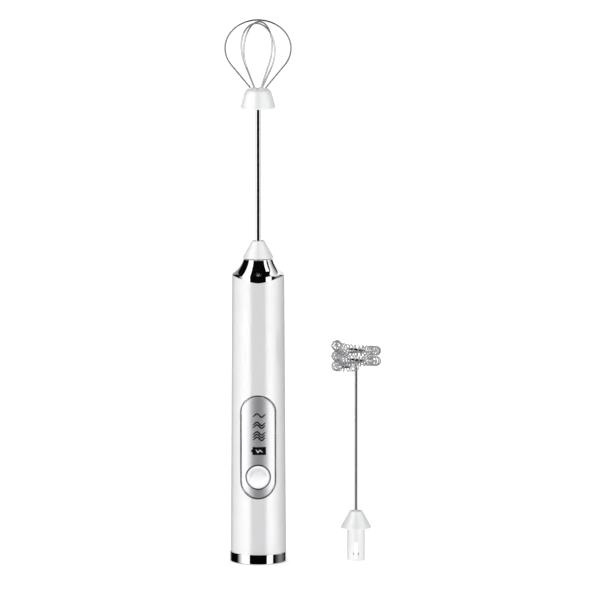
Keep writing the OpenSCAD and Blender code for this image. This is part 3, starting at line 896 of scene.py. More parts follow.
@dataclass
class HandleShell:
    """Barrel, foot ring, foot cap and flared nose.

    Attributes:
        foot_r: Barrel radius just above the foot ring.
        top_r: Barrel radius at the shoulder.
        ring_h: Height of the foot ring.
        shoulder_z: Height of the shoulder.
        wall: Thickness of the barrel.
        ring_r: Radius of the foot ring.
        nose_h: Height of the nose above the shoulder.
        tip_r: Radius of the nose at its tip.
        chin: How far the nose's seam dips at the front.
        side: How far the seam's front half lies below its back half.
        seam_back: Where the front half of the seam ends.
        window_w: Width of the panel's window.
        window_h: Height of the panel's window.
        panel_z: Height of the panel's centre.
        port_z: Height of the charging port's centre.
        port_w: Width of the port's window.
        port_h: Height of the port's window.
    """

    foot_r: float = 14.1
    top_r: float = 13.25
    ring_h: float = 4.9
    shoulder_z: float = 147.8
    wall: float = 1.6
    ring_r: float = 14.5
    nose_h: float = 7.8
    tip_r: float = 7.5
    chin: float = 3.2
    side: float = 0.15
    seam_back: float = -0.5
    window_w: float = 18.4
    window_h: float = 53.6
    panel_z: float = 60.4
    port_z: float = 20.6
    port_w: float = 10.4
    port_h: float = 4.6

    @property
    def taper(self) -> float:
        """Returns how much the radius falls for each unit of height."""
        return (self.foot_r - self.top_r) / (self.shoulder_z - self.ring_h)

    def radius(self, z: float) -> float:
        """Returns the barrel's radius at a height."""
        return self.foot_r - self.taper * (z - self.ring_h)

    def seam_z(self, x: float) -> float:
        """Returns the height of the nose's seam at a sideways distance from the axis."""
        dip_r = 3.0
        reach = math.hypot(self.top_r, dip_r) - dip_r
        rise = (math.hypot(x, dip_r) - dip_r) / reach
        return self.shoulder_z - self.side - (self.chin - self.side) * (1 - rise)

    def above_seam(self, drop: float = 0.0) -> bpy.types.Object:
        """Returns the tool that holds everything above the seam, in front of the axis."""
        count, reach, over = 56, 14.0, 20.0
        line = [(-reach + 2 * reach * k / count) for k in range(count + 1)]
        outline = [(x, self.seam_z(x) - drop) for x in line]
        outline += [(reach, self.shoulder_z + over), (-reach, self.shoulder_z + over)]
        return Maker.prism("above_seam", outline, -30.0, self.seam_back)

    def surface_normal(self, point: Vector) -> Vector | None:
        """Returns the barrel's outward normal at a point of its outer surface, in metres."""
        spread = math.hypot(point.x, point.y)
        if abs(spread / MM - self.radius(point.z / MM)) > 0.02:
            return None
        return Vector((point.x / spread, point.y / spread, self.taper)).normalized()

    def barrel(self) -> bpy.types.Object:
        """Makes the white barrel with its panel window, its port window and its cut top."""
        top = self.shoulder_z
        foot_z, tenon_r = 1.0, self.ring_r - 1.0
        outline = [
            (self.radius(self.ring_h) - self.wall, foot_z),
            (tenon_r, foot_z),
            (tenon_r, self.ring_h),
            (self.radius(self.ring_h), self.ring_h),
            (self.radius(top - 0.02), top - 0.02),
            (self.radius(top) - 0.1, top),
            (self.radius(top) - self.wall, top),
        ]
        shell = Maker.revolve("barrel_shell", outline, 288)
        window = [p for p, _ in stadium_path(self.window_w, self.window_h, 48, 1)]
        Maker.cut(shell, Maker.prism("window", [(x, z + self.panel_z) for x, z in window], -30.0, 0.0))
        port = [p for p, _ in stadium_path(self.port_h, self.port_w, 24, 1)]
        Maker.cut(shell, Maker.prism("port", [(z, self.port_z - x) for x, z in port], 0.0, 30.0))
        Maker.cut(shell, self.above_seam())
        Maker.smooth(shell)
        Maker.aim_normals(shell, self.surface_normal)
        return Maker.finish(shell, Look.SHELL, "white_shell", "handle", ["barrel"])

    def foot_ring(self) -> bpy.types.Object:
        """Makes the bright foot ring with soft edges."""
        r, h, edge = self.ring_r, self.ring_h, 0.28
        wall, lip_r = 0.95, self.ring_r - 1.85
        outline = rounded(
            [(lip_r, 0.0), (r, 0.0, edge), (r, h, edge), (r - wall, h), (r - wall, wall), (lip_r, wall)]
        )
        ring = Maker.revolve("foot_ring", outline, 256)
        Maker.smooth(ring)
        return Maker.finish(ring, Look.CHROME, "chrome_trim", "handle", ["base_ring"])

    def foot_cap(self) -> bpy.types.Object:
        """Makes the cap under the foot, with a shallow recess and a soft rim."""
        r, inner_r = self.ring_r - 2.1, self.ring_r - 3.3
        recess, floor, height, edge = 0.3, 2.0, 8.0, 0.2
        outline = rounded(
            [
                (0.0, recess),
                (r - 3.2, recess, 0.12),
                (r - 3.6, 0.0, 0.12),
                (r, 0.0, edge),
                (r, height, edge),
                (inner_r, height, edge),
                (inner_r, floor),
                (0.0, floor),
            ]
        )
        cap = Maker.revolve("foot_cap", outline, 192)
        Maker.smooth(cap)
        return Maker.finish(cap, Look.WHITE_PART, "white_part", "handle", ["end_cap"])

    def nose(self) -> bpy.types.Object:
        """Makes the flared nose with its chin and the spigot that holds it in the barrel."""
        spigot_r = self.top_r - self.wall - 0.1
        spigot_z = self.shoulder_z - 8
        seat_z = self.shoulder_z + 1.6
        bore_r, seat_r = 6.6, 9.0
        top = self.shoulder_z + self.nose_h
        step = self.shoulder_z - self.chin - 0.5
        flare = arc_through(
            (self.top_r - 0.35, self.shoulder_z + 0.4),
            (self.tip_r + 2.1, self.shoulder_z + self.nose_h * 0.44),
            (self.tip_r, top - 0.2),
            28,
        )
        foot = (self.radius(step), step)
        shoulder = rounded([foot, (self.top_r, self.shoulder_z, 0.25), flare[0]])[1:-1]
        outline = [
            (spigot_r - 1.6, spigot_z),
            (spigot_r, spigot_z),
            (spigot_r, step),
            foot,
            *shoulder,
            *flare[:-1],
            (self.tip_r, top - 0.22),
            (self.tip_r - 0.06, top - 0.08),
            (self.tip_r - 0.2, top),
            (bore_r, top),
            (bore_r, seat_z),
            (seat_r, seat_z),
            (seat_r, spigot_z + 3),
        ]
        nose = Maker.revolve("nose_flare", outline, 256)
        inner, outer, low = spigot_r + 0.04, 30.0, step - 1.5
        block = [(inner, low), (outer, low), (outer, self.shoulder_z), (inner, self.shoulder_z)]
        sleeve = Maker.revolve("sleeve", block, 256)
        Maker.cut(sleeve, self.above_seam(-0.06))
        Maker.cut(nose, sleeve)
        Maker.smooth(nose)
        Maker.aim_normals(nose, self.surface_normal, 0.97)
        return Maker.finish(nose, Look.CHROME, "chrome_trim", "handle", ["nose_cone"])

    def build(self) -> None:
        """Makes the shell's pieces in order."""
        self.barrel()
        self.foot_ring()
        self.foot_cap()
        self.nose()


@dataclass
class ControlPanel:
    """Brushed plate with its dark groove, the button with its ring, and the printed signs.

    Attributes:
        shell: The handle shell that the panel is laid on.
        groove: Gap between the window and the plate.
        proud: How far the plate stands out of the barrel.
        chamfer: Width of the plate's bright edge.
        button_z: Height of the button's centre.
        button_r: Radius of the button cap.
        wave_rows: Centre height of each speed sign and its number of waves.
        wave_step: Distance between the waves of one sign.
        battery_z: Height of the battery sign's centre.
        bolt: The line of the battery sign's bolt, round that centre.
        ink_low: Lift of the signs' underside above the barrel's surface.
    """

    shell: HandleShell
    groove: float = 0.8
    proud: float = 0.05
    chamfer: float = 0.3
    button_z: float = 45.1
    button_r: float = 5.85
    wave_rows: tuple[tuple[float, int], ...] = ((76.9, 1), (71.9, 2), (66.3, 3))
    wave_step: float = 1.38
    battery_z: float = 58.6
    bolt: tuple[Pair, ...] = (
        (-1.2, 0.75),
        (-0.65, -0.05),
        (-0.1, -0.85),
        (0.35, -0.2),
        (0.85, 0.5),
        (1.5, -0.1),
        (2.2, -0.7),
    )
    ink_low: float = 0.02

    @property
    def hole_r(self) -> float:
        """Returns the radius of the plate's hole for the button and its ring."""
        return self.button_r + 0.7

    def on_surface(self, x: float, z: float, lift: float) -> Triple:
        """Returns the point over (x, z) that lies lift above the barrel's surface."""
        reach = self.shell.radius(z) + lift
        return (x, -math.sqrt(max(reach * reach - x * x, 0.01)), z)

    def on_panel(self, x: float, z: float, lift: float) -> Triple:
        """Returns the same with the height counted from the panel's centre."""
        return self.on_surface(x, z + self.shell.panel_z, lift)

    def plate_normal(self, point: Vector) -> Vector | None:
        """Returns the plate's outward normal at a point of its face, in metres."""
        spread = math.hypot(point.x, point.y)
        if abs(spread / MM - self.shell.radius(point.z / MM) - self.proud) > 0.012:
            return None
        return Vector((point.x / spread, point.y / spread, self.shell.taper)).normalized()

    def plate(self) -> bpy.types.Object:
        """Makes the brushed plate with a fine chamfer and the button's hole."""
        half = self.shell.window_w / 2 - self.groove
        path = stadium_path(2 * half, self.shell.window_h - 2 * self.groove, 48, 24)
        top, under, edge, strips = self.proud, -1.0, self.chamfer, 8
        section = [(-half * k / strips, top) for k in range(strips, 0, -1)]
        section += [(-edge - 0.06, top), (-edge, top), (-0.05, top - edge + 0.05)]
        section += [(0.0, top - edge - 0.02), (0.0, under), (-half, under)]
        plate = Maker.band("brushed_plate", path, section, self.on_panel, solid=True)
        hole = circle_path(self.hole_r, 100, self.button_z)
        Maker.cut(plate, Maker.prism("button_hole", hole, -30.0, 0.0))
        Maker.smooth(plate)
        Maker.aim_normals(plate, self.plate_normal)
        return Maker.finish(plate, Look.PLATE, "brushed_plate", "handle", ["panel_plate"])

    def groove_seal(self) -> bpy.types.Object:
        """Makes the dark rubber ring that fills the groove round the plate."""
        path = stadium_path(self.shell.window_w, self.shell.window_h, 48, 24)
        width, inner, outer = self.groove, -self.groove - 1.0, 1.2
        face, edge, plate, wall, under = -0.35, -0.4, -1.02, -1.63, -2.4
        section = [(0.0, edge), (-0.1, face), (0.1 - width, face), (-width, edge), (-width, plate)]
        section += [(inner, plate), (inner, under), (outer, under), (outer, wall), (0.0, wall)]
        seal = Maker.band("groove_seal", path, section, self.on_panel)
        Maker.smooth(seal)
        return Maker.finish(seal, Look.SEAL, "black_rubber", "handle", ["panel_gasket"])

    def bezel(self) -> bpy.types.Object:
        """Makes the dark ring round the button, which follows the barrel's curve."""
        inner, width = self.button_r + 0.2, 0.5
        path = list(zip(circle_path(inner, 128, turn=0.0), circle_path(1.0, 128, turn=0.0)))
        low, high, crown, under = 0.02, 0.11, 0.15, -1.0
        section = [(0.0, low), (0.06, high), (0.16, crown), (width - 0.16, crown), (width - 0.05, high)]
        section += [(width, low), (width, under), (0.0, under)]
        ring = Maker.band(
            "button_ring", path, section, lambda x, z, lift: self.on_surface(x, z + self.button_z, lift)
        )
        Maker.smooth(ring, 50)
        return Maker.finish(ring, Look.GLOSS_BLACK, "black_trim", "handle", ["button_bezel"])

    def button(self) -> bpy.types.Object:
        """Makes the dished button cap with its skirt and stem."""
        r, face, dish = self.button_r, 14.35, 13.62
        stem_r, seat, inside, skirt, flange = 1.6, 11.3, 12.9, 10.0, 1.05
        rim = [(r, 12.0), (r, face, 0.42), (r - 1.25, face - 0.01, 0.6), (r - 2.9, dish + 0.18, 1.2)]
        outline = [
            (0.0, seat),
            (stem_r, seat),
            (stem_r, inside),
            (r - 0.85, inside),
            (r - 0.85, skirt),
            (r + flange, skirt),
            (r + flange, skirt + 0.6),
            (r, skirt + 0.6),
            *rounded([*rim, (0.0, dish)], 6),
        ]
        cap = Maker.revolve("button_dish", outline, 160)
        for vertex in cap.data.vertices:
            x, y, z = vertex.co
            vertex.co = (x, -z, y + self.button_z * MM)
        Maker.smooth(cap)
        return Maker.finish(cap, Look.BUTTON, "white_part", "button", ["button_cap"])

    @staticmethod
    def _stroke(spine: Sequence[Pair], width: float, deep: float, high: float) -> Shape:
        """Makes a flat stroke with tapered ends.

        Args:
            spine: Points (x, z) along the stroke.
            width: Its full width.
            deep: Lift of its underside.
            high: Lift of its face.

        Returns:
            Points as (x, lift, z), and faces.
        """
        count = len(spine)
        points: list[Triple] = []
        for i, (x, z) in enumerate(spine):
            ahead, behind = spine[min(i + 1, count - 1)], spine[max(i - 1, 0)]
            run = math.hypot(ahead[0] - behind[0], ahead[1] - behind[1])
            nx, nz = -(ahead[1] - behind[1]) / run, (ahead[0] - behind[0]) / run
            share = i / (count - 1)
            half = width / 2 * (0.45 + 0.55 * min(1.0, 5 * share, 5 * (1 - share)))
            for side, lift in ((1, high), (-1, high), (-1, deep), (1, deep)):
                points.append((x + side * half * nx, lift, z + side * half * nz))
        return points, capped(count)

    @staticmethod
    def _slab(left: float, right: float, half: float, strips: int, deep: float, high: float) -> Shape:
        """Makes a flat slab in narrow strips, so that it can bend round the barrel.

        Args:
            left: Sideways place of its left edge.
            right: Sideways place of its right edge.
            half: Half its height.
            strips: Number of strips.
            deep: Lift of its underside.
            high: Lift of its face.

        Returns:
            Points as (x, lift, z), and faces.
        """
        points: list[Triple] = []
        for k in range(strips + 1):
            x = left + (right - left) * k / strips
            points += [(x, high, -half), (x, high, half), (x, deep, half), (x, deep, -half)]
        return points, capped(strips + 1)

    @staticmethod
    def _wave_spine(steps: int = 28) -> list[Pair]:
        """Returns the line of one wave, a crest on the left and a trough on the right."""
        half, hump, height, tilt, aside = 3.35, 2.25, 0.78, 0.08, 0.4
        out: list[Pair] = []
        for k in range(steps + 1):
            x = -half + 2 * half * k / steps
            out.append((x + aside, height * math.sin(math.pi * (tilt - x / hump)) - tilt * x))
        return out

    def _lay(self, tree: SignTree, name: str, sign: Shape, heights: Sequence[float], look: Look) -> None:
        """Lays copies of a flat sign on the barrel.

        Args:
            tree: The node group that bends them.
            name: The piece's name.
            sign: Points as (x, lift, z), and faces.
            heights: Height of each copy.
            look: The sign's finish.
        """
        item = Maker.from_data(name, *sign)
        mesh = item.data
        first = len(mesh.vertices)
        mesh.vertices.add(len(heights))
        for k, z in enumerate(heights):
            mesh.vertices[first + k].co = (0.0, 0.0, z * MM)
        marks = mesh.attributes.new("row", "BOOLEAN", "POINT")
        marks.data.foreach_set("value", [i >= first for i in range(len(mesh.vertices))])
        axis_r = self.shell.radius(0.0) * MM
        tree.run(item, {"Radius At Zero": axis_r, "Taper": self.shell.taper}, look)
        Maker.finish(item, look, "black_trim" if look is Look.INK else "white_part", "handle")

    def signs(self) -> None:
        """Makes the speed signs of one, two and three waves and the battery sign with its bolt."""
        tree = SignTree()
        low, high = self.ink_low, self.proud + 0.035
        rows = [
            z + self.wave_step * (k - (count - 1) / 2) for z, count in self.wave_rows for k in range(count)
        ]
        wave = self._stroke(self._wave_spine(), 0.74, low, high)
        self._lay(tree, "speed_signs", wave, rows, Look.INK)
        nub = self._slab(-3.6, -2.95, 0.65, 2, low, high)
        case = self._slab(-2.95, 3.95, 2.05, 16, low, high)
        self._lay(tree, "battery_sign", merged(nub, case), [self.battery_z], Look.INK)
        bolt = self._stroke(self.bolt, 0.46, high - 0.005, high + 0.02)
        self._lay(tree, "battery_bolt", bolt, [self.battery_z], Look.PALE_INK)

    def build(self) -> None:
        """Makes the panel's pieces in order."""
        self.plate()
        self.groove_seal()
        self.bezel()
        self.button()
        self.signs()


@dataclass
class ChargePort:
    """The charging port at the back: its contacts; the shell and tongue are CAD nodes.

    Attributes:
        contacts: Number of contacts on each face of the tongue.
        pitch: Distance between contacts.
        half_w: Half a contact's width.
        half_t: Half a contact's thickness.
    """

    contacts: int = 8
    pitch: float = 0.7
    half_w: float = 0.17
    half_t: float = 0.02

    def build(self) -> None:
        """Lays rows of contact strips on both faces of the tongue."""
        low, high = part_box("usb_tongue")
        near, far = low.y / MM + 2.5, high.y / MM - 0.5
        w, t = self.half_w, self.half_t
        bars: list[Shape] = []
        for z in (low.z / MM, high.z / MM):
            for k in range(self.contacts):
                x = (k - (self.contacts - 1) / 2) * self.pitch
                corners = ((x - w, z - t), (x + w, z - t), (x + w, z + t), (x - w, z + t))
                bars.append(([(a, y, b) for y in (near, far) for a, b in corners], capped(2)))
        strips = Maker.from_data("port_contacts", *merged(*bars))
        Maker.finish(strips, Look.GOLD, "brass_strip", "handle")


# ---------------------------------------------------------------------------------------------
# The whisks
# ---------------------------------------------------------------------------------------------


def shift(x: float, y: float, z: float) -> Matrix:
    """Returns a translation given in millimetres."""
    return Matrix.Translation((x * MM, y * MM, z * MM))


def join(name: str, items: Sequence[bpy.types.Object]) -> bpy.types.Object:
    """Joins objects into one mesh object, and removes them."""
    shape = bmesh.new()
    for item in items:
        shape.from_mesh(item.data)
    mesh = bpy.data.meshes.new(name)
    shape.to_mesh(mesh)
    shape.free()
    for item in items:
        old = item.data
        bpy.data.objects.remove(item)
        bpy.data.meshes.remove(old)
    joined = bpy.data.objects.new(name, mesh)
    bpy.context.scene.collection.objects.link(joined)
    return joined


def shaft_rod(name: str, body: str, node: str, radius: float, rounds: Pair, x: float = 0.0) -> None:
    """Makes a whisk's shaft.

    Args:
        name: The piece's name.
        body: The body that it rides on.
        node: The CAD node that it stands for, whose height it takes.
        radius: Its radius.
        rounds: Radius of the round at its lower and at its upper end.
        x: Sideways place of its axis.
    """
    low, high = (corner.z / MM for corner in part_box(node))
    outline = rounded([(0.0, low), (radius, low, rounds[0]), (radius, high, rounds[1]), (0.0, high)])
    rod = Maker.revolve(name, outline, 64)
    rod.data.transform(shift(x, 0.0, 0.0))
    Maker.smooth(rod)
    Maker.finish(rod, Look.STEEL, "whisk_wire", body, [node])


@dataclass
class WhiskPlug:
    """Split plug with its cone-shaped collar; the collar's base is at base_z.

    Attributes:
        base_z: Height of the collar's base.
        shift_x: Sideways place of the axis.
        shaft_r: Radius of the shaft in it.
        plug_r: Radius of the plug.
        length: Length of the plug below the collar.
        collar_r: Radius of the collar at its base.
        collar_h: Height of the collar.
        top_r: Radius of the collar at its top.
        slot_w: Width of the slot that splits the plug.
        slot_len: Length of the slot.
        detent_up: Height of the snap hole above the plug's end.
        detent_r: Radius of the snap hole.
        shaft_seat: How far the shaft reaches into the plug below the collar's base.
    """

    base_z: float
    shift_x: float
    shaft_r: float
    plug_r: float = 4.55
    length: float = 16.8
    collar_r: float = 7.7
    collar_h: float = 8.8
    top_r: float = 3.2
    slot_w: float = 1.8
    slot_len: float = 10.0
    detent_up: float = 4.0
    detent_r: float = 1.5
    shaft_seat: float = 5.3

    def build(self, name: str, body: str, node: str) -> bpy.types.Object:
        """Makes the plug and ties it to its body."""
        outline = rounded(
            [
                (0.0, -self.length),
                (self.plug_r, -self.length, 0.4),
                (self.plug_r, 0.0),
                (self.collar_r, 0.0, 0.18),
                (self.collar_r, 0.5, 0.2),
                (self.top_r, self.collar_h, 0.35),
                (self.shaft_r, self.collar_h, 0.12),
                (self.shaft_r, -self.shaft_seat),
                (0.0, -self.shaft_seat),
            ],
            5,
        )
        plug = Maker.revolve(name, outline, 128)
        radius = self.slot_w / 2
        arch = circle_path(radius, 24, self.slot_len - radius - self.length, turn=0.0)[:13]
        foot = -self.length - 1.0
        Maker.cut(plug, Maker.prism("slot", [(-radius, foot), (radius, foot), *arch], -20.0, 20.0))
        snap = circle_path(self.detent_r, 32, self.detent_up - self.length, turn=0.0)
        Maker.cut(plug, Maker.prism("snap", snap, -20.0, 20.0))
        plug.data.transform(shift(self.shift_x, 0.0, self.base_z))
        Maker.smooth(plug)
        return Maker.finish(plug, Look.WHITE_PART, "white_part", body, [node])


@dataclass
class EggWhisk:
    """Balloon whisk: plug, shaft, hub and three wire loops.

    Attributes:
        wires: The node group that makes a round wire.
        collar_z: Height of the collar's base.
        shaft_r: Radius of the shaft.
        hub_z: Height of the hub's base.
        hub_h: Height of the hub.
        top_z: Top of the tallest loop.
        belly_drop: How far a loop's widest place lies below the top.
        loop_r: Half width of the loops.
        lower_arc_r: Radius of the arc below the widest place.
        leg_tilt: Angle between the straight legs and the axis.
        wire_r: Radius of the loops' wire.
        leg_r: Distance of the legs from the axis in the hub.
        nest: How much lower the top of each next loop is.
        loops: Names, CAD nodes and directions of the loops.
    """

    wires: WireTree
    collar_z: float = 156.1
    shaft_r: float = 1.35
    hub_z: float = 232.6
    hub_h: float = 10.0
    top_z: float = 278.0
    belly_drop: float = 14.7
    loop_r: float = 16.7
    lower_arc_r: float = 13.3
    leg_tilt: float = math.radians(39.8)
    wire_r: float = 0.425
    leg_r: float = 3.7
    nest: float = 0.9
    loops: tuple[tuple[str, str, float], ...] = (
        ("loop_wide", "egg_loop_wide", 0.0),
        ("loop_left", "egg_loop_left", 65.0),
        ("loop_right", "egg_loop_right", -59.0),
    )

    def half_loop(self, top: float) -> list[Pair]:
        """Returns one half of a loop from its top to its foot, as distance from the axis and height."""
        belly = self.top_z - self.belly_drop
        upper, lower, bend, soft, depth = 30, 14, 6, 1.4, 6.0
        out: list[Pair] = []
        for k in range(upper + 1):
            t = math.pi / 2 * k / upper
            out.append((self.loop_r * math.sin(t), belly + (top - belly) * math.cos(t)))
        for k in range(1, lower + 1):
            t = self.leg_tilt * k / lower
            inward, down = self.lower_arc_r * (1 - math.cos(t)), self.lower_arc_r * math.sin(t)
            out.append((self.loop_r - inward, belly - down))
        end_r, end_z = out[-1]
        knee = (self.leg_r, end_z - (end_r - self.leg_r) / math.tan(self.leg_tilt))
        ahead = (knee[0] + soft * math.sin(self.leg_tilt), knee[1] + soft * math.cos(self.leg_tilt))
        after = (knee[0], knee[1] - soft)
        for k in range(bend + 1):
            out.append(mix(mix(ahead, knee, k / bend), mix(knee, after, k / bend), k / bend))
        out.append((self.leg_r, self.hub_z + depth))
        return out

    def loop(self, number: int) -> bpy.types.Object:
        """Makes one wire loop, nested below the one before."""
        name, node, angle = self.loops[number]
        half = self.half_loop(self.top_z - self.wire_r - self.nest * number)
        outline = [(-r, z) for r, z in reversed(half[1:])] + half
        turn = math.radians(angle)
        line = line_object(name, [(r * math.cos(turn), r * math.sin(turn), z) for r, z in outline])
        # The inner loops wear the wire painted lighter and the front loop wears it painted darker: painted
        # light and painted shade on one wire.
        look = Look.INNER_LOOP_PAINTED_LIGHT if number else Look.FRONT_LOOP_PAINTED_SHADE
        self.wires.run(line, {"Wire Radius": self.wire_r * MM, "Sides": 16}, look)
        return Maker.finish(line, look, "whisk_wire", "egg_whisk", [node])

    def hub(self) -> bpy.types.Object:
        """Makes the hub with a dimple in its top; it is hidden from the nose's reflections."""
        seat = 5.7
        outline = rounded(
            [
                (0.0, 8.6),
                (0.9, 8.8, 0.5),
                (2.3, 9.92, 0.6),
                (5.1, 10.0, 0.7),
                (6.3, 9.0, 0.8),
                (6.95, 7.6, 1.6),
                (8.78, 0.75, 0.3),
                (8.35, 0.0, 0.35),
                (self.shaft_r, 0.0),
                (self.shaft_r, seat),
                (0.0, seat),
            ],
            5,
        )
        hub = Maker.revolve("hub", [(r, z + self.hub_z) for r, z in outline], 160)
        Maker.smooth(hub)
        hub.visible_glossy = False
        return Maker.finish(hub, Look.WHITE_PART, "white_part", "egg_whisk", ["egg_hub"])

    def bosses(self) -> bpy.types.Object:
        """Makes the small raised collars where the wires enter the hub."""
        low, high = self.hub_z + self.hub_h - 0.3, self.hub_z + self.hub_h + 0.42
        outline = rounded([(0.0, low), (1.15, low), (1.0, high, 0.25), (0.0, high)], 4)
        rings: list[bpy.types.Object] = []
        for _, _, angle in self.loops:
            for side in (0, 180):
                boss = Maker.revolve("boss", outline, 32)
                turn = math.radians(angle + side)
                boss.data.transform(shift(self.leg_r * math.cos(turn), self.leg_r * math.sin(turn), 0.0))
                rings.append(boss)
        joined = join("wire_bosses", rings)
        Maker.smooth(joined)
        return Maker.finish(joined, Look.WHITE_PART, "white_part", "egg_whisk")

    def build(self) -> None:
        """Makes the whisk's pieces in order; the collar is hidden from the nose's reflections."""
        collar = WhiskPlug(self.collar_z, 0.0, self.shaft_r).build("egg_collar", "egg_whisk", "egg_plug")
        collar.visible_glossy = False
        shaft_rod("egg_rod", "egg_whisk", "egg_shaft", self.shaft_r, (0.2, 0.0))
        self.hub()
        self.bosses()
        for number in range(len(self.loops)):
            self.loop(number)


@dataclass
class MilkWhisk:
    """Spare whisk: plug, shaft and a coil spring wound round a ring of wire.

    Attributes:
        wires: The node group that makes a round wire.
        coils: The node group that winds a coil.
        axis_x: Sideways place of its shaft.
        shaft_r: Radius of the shaft.
        plug_len: Length of the plug that it stands on.
        ring_z: Height of the ring's lowest turn.
        ring_r: Radius of the ring.
        rise: Rise of the ring in one turn.
        sweep: Angle that the ring runs through, in degrees.
        lean: Lean of the ring, front up.
        coil_r: Outer radius of the coil.
        coil_wire_r: Radius of the coil's wire.
        coil_pitch: Distance between turns of the coil.
        core_r: Radius of the ring's own wire.
    """

    wires: WireTree
    coils: CoilTree
    axis_x: float = 50.0
    shaft_r: float = 0.9
    plug_len: float = 16.8
    ring_z: float = 100.3
    ring_r: float = 10.25
    rise: float = 5.3
    sweep: float = 740.0
    lean: float = math.radians(4)
    coil_r: float = 2.5
    coil_wire_r: float = 0.22
    coil_pitch: float = 2.1
    core_r: float = 0.6

    @property
    def lead_in(self) -> float:
        """Returns the length of the half circle from the shaft out to the ring."""
        return math.pi * self.ring_r / 2

    @property
    def head_length(self) -> float:
        """Returns the length of the head's path."""
        return self.lead_in + self.ring_r * math.radians(self.sweep)

    def head_point(self, s: float) -> Triple:
        """Returns the point of the head's path at a distance from the shaft."""
        out = s < self.lead_in
        if out:
            a = -2 * s / self.ring_r
            x, y, up = self.ring_r / 2 * (math.cos(a) - 1), self.ring_r / 2 * math.sin(a), 0.0
        else:
            a = math.pi - (s - self.lead_in) / self.ring_r
            x, y = self.ring_r * math.cos(a), self.ring_r * math.sin(a)
            up = self.rise * (s - self.lead_in) / (2 * math.pi * self.ring_r)
        return (self.axis_x + x, y, self.ring_z + up - y * math.tan(self.lean))

    def path(self, first: float, last: float, steps: int) -> list[Triple]:
        """Returns points along the head's path."""
        return [self.head_point(first + (last - first) * k / steps) for k in range(steps + 1)]

    def build(self) -> None:
        """Makes the whisk's pieces in order."""
        WhiskPlug(self.plug_len, self.axis_x, self.shaft_r).build("milk_collar", "milk_whisk", "milk_plug")
        shaft_rod("milk_rod", "milk_whisk", "milk_shaft", self.shaft_r, (0.0, 0.3), self.axis_x)
        core = line_object("ring_core", self.path(self.shaft_r, self.head_length - 0.3, 240))
        self.wires.run(core, {"Wire Radius": self.core_r * MM, "Sides": 12}, Look.STEEL)
        Maker.finish(core, Look.STEEL, "whisk_wire", "milk_whisk", ["milk_core_wire"])
        coil = line_object("ring_coil", self.path(self.shaft_r + 0.6, self.head_length, 400))
        values = {
            "Wire Radius": self.coil_wire_r * MM,
            "Coil Radius": (self.coil_r - self.coil_wire_r) * MM,
            "Pitch": self.coil_pitch * MM,
            "Step": self.coil_pitch / 28 * MM,
            "Sides": 8,
        }
        self.coils.run(coil, values, Look.COIL_WIRE)
        Maker.finish(coil, Look.COIL_WIRE, "whisk_wire", "milk_whisk", ["milk_spring"])


# ---------------------------------------------------------------------------------------------
# The pieces inside the handle
# ---------------------------------------------------------------------------------------------


@dataclass
class Inside:
    """Finishes of the CAD nodes that are shown as they are.

    Attributes:
        nodes: The frame's nodes.
        looks: The finish of each node.
    """

    nodes: dict[str, bpy.types.Object]
    looks: dict[Look, tuple[str, ...]] = field(
        default_factory=lambda: {
            Look.RUBBER: ("nose_o_ring", "splash_seal", "motor_damper"),
            Look.MILKY: ("light_guide",),
            Look.CHASSIS: ("carrier",),
            Look.BOARD: ("circuit_board", "charge_board"),
            Look.STEEL: ("board_screws", "motor_shaft", "drive_pin"),
            Look.CHIP: ("tact_switch", "charge_chip", "motor_transistor", "usb_tongue"),
            Look.GLOSS_BLACK: ("switch_plunger",),
            Look.LENS: ("indicator_leds",),
            Look.CERAMIC: ("board_passives",),
            Look.SHEET_STEEL: ("usb_shell", "battery_tabs", "motor_can", "rotor_core"),
            Look.LEAD: ("charge_leads", "battery_leads", "motor_leads"),
            Look.SLEEVE: ("battery_cell",),
            Look.FOAM: ("battery_pad",),
            Look.IVORY: ("motor_end_bell", "commutator_sleeve"),
            Look.FERRITE: ("motor_magnets",),
            Look.BRONZE: ("front_bush", "rear_bush"),
            Look.CARBON: ("motor_brushes",),
            Look.BRASS: ("motor_terminals",),
            Look.COPPER: ("rotor_windings", "commutator"),
            Look.WHITE_PART: ("drive_socket",),
        }
    )

    def build(self) -> None:
        """Gives each shown node its finish."""
        dressed = 0
        for look, names in self.looks.items():
            for name in names:
                Maker.dress(self.nodes[name], look)
                dressed += 1
        LOG.info("%d inner nodes dressed", dressed)


# ---------------------------------------------------------------------------------------------
# The studio
# ---------------------------------------------------------------------------------------------


@dataclass(frozen=True)
class Card:
    """A bright panel of the studio on a far dome, seen only in the reflections of one group of pieces.

    Attributes:
        name: The card's name.
        group: The group of pieces that it shines on.
        rows: From its foot to its top, the (azimuth, elevation) of its first and its second edge, in
            degrees; azimuth 0 is in front and positive to the right.
        glow: Strength at its first edge and at its second edge.
    """

    name: str
    group: Gloss
    rows: tuple[tuple[Pair, Pair], ...]
    glow: Pair


def upright(first: float, second: float, foot: float, top: float) -> tuple[tuple[Pair, Pair], ...]:
    """Returns the rows of a card between two azimuths and two elevations."""
    return (((first, foot), (second, foot)), ((first, top), (second, top)))


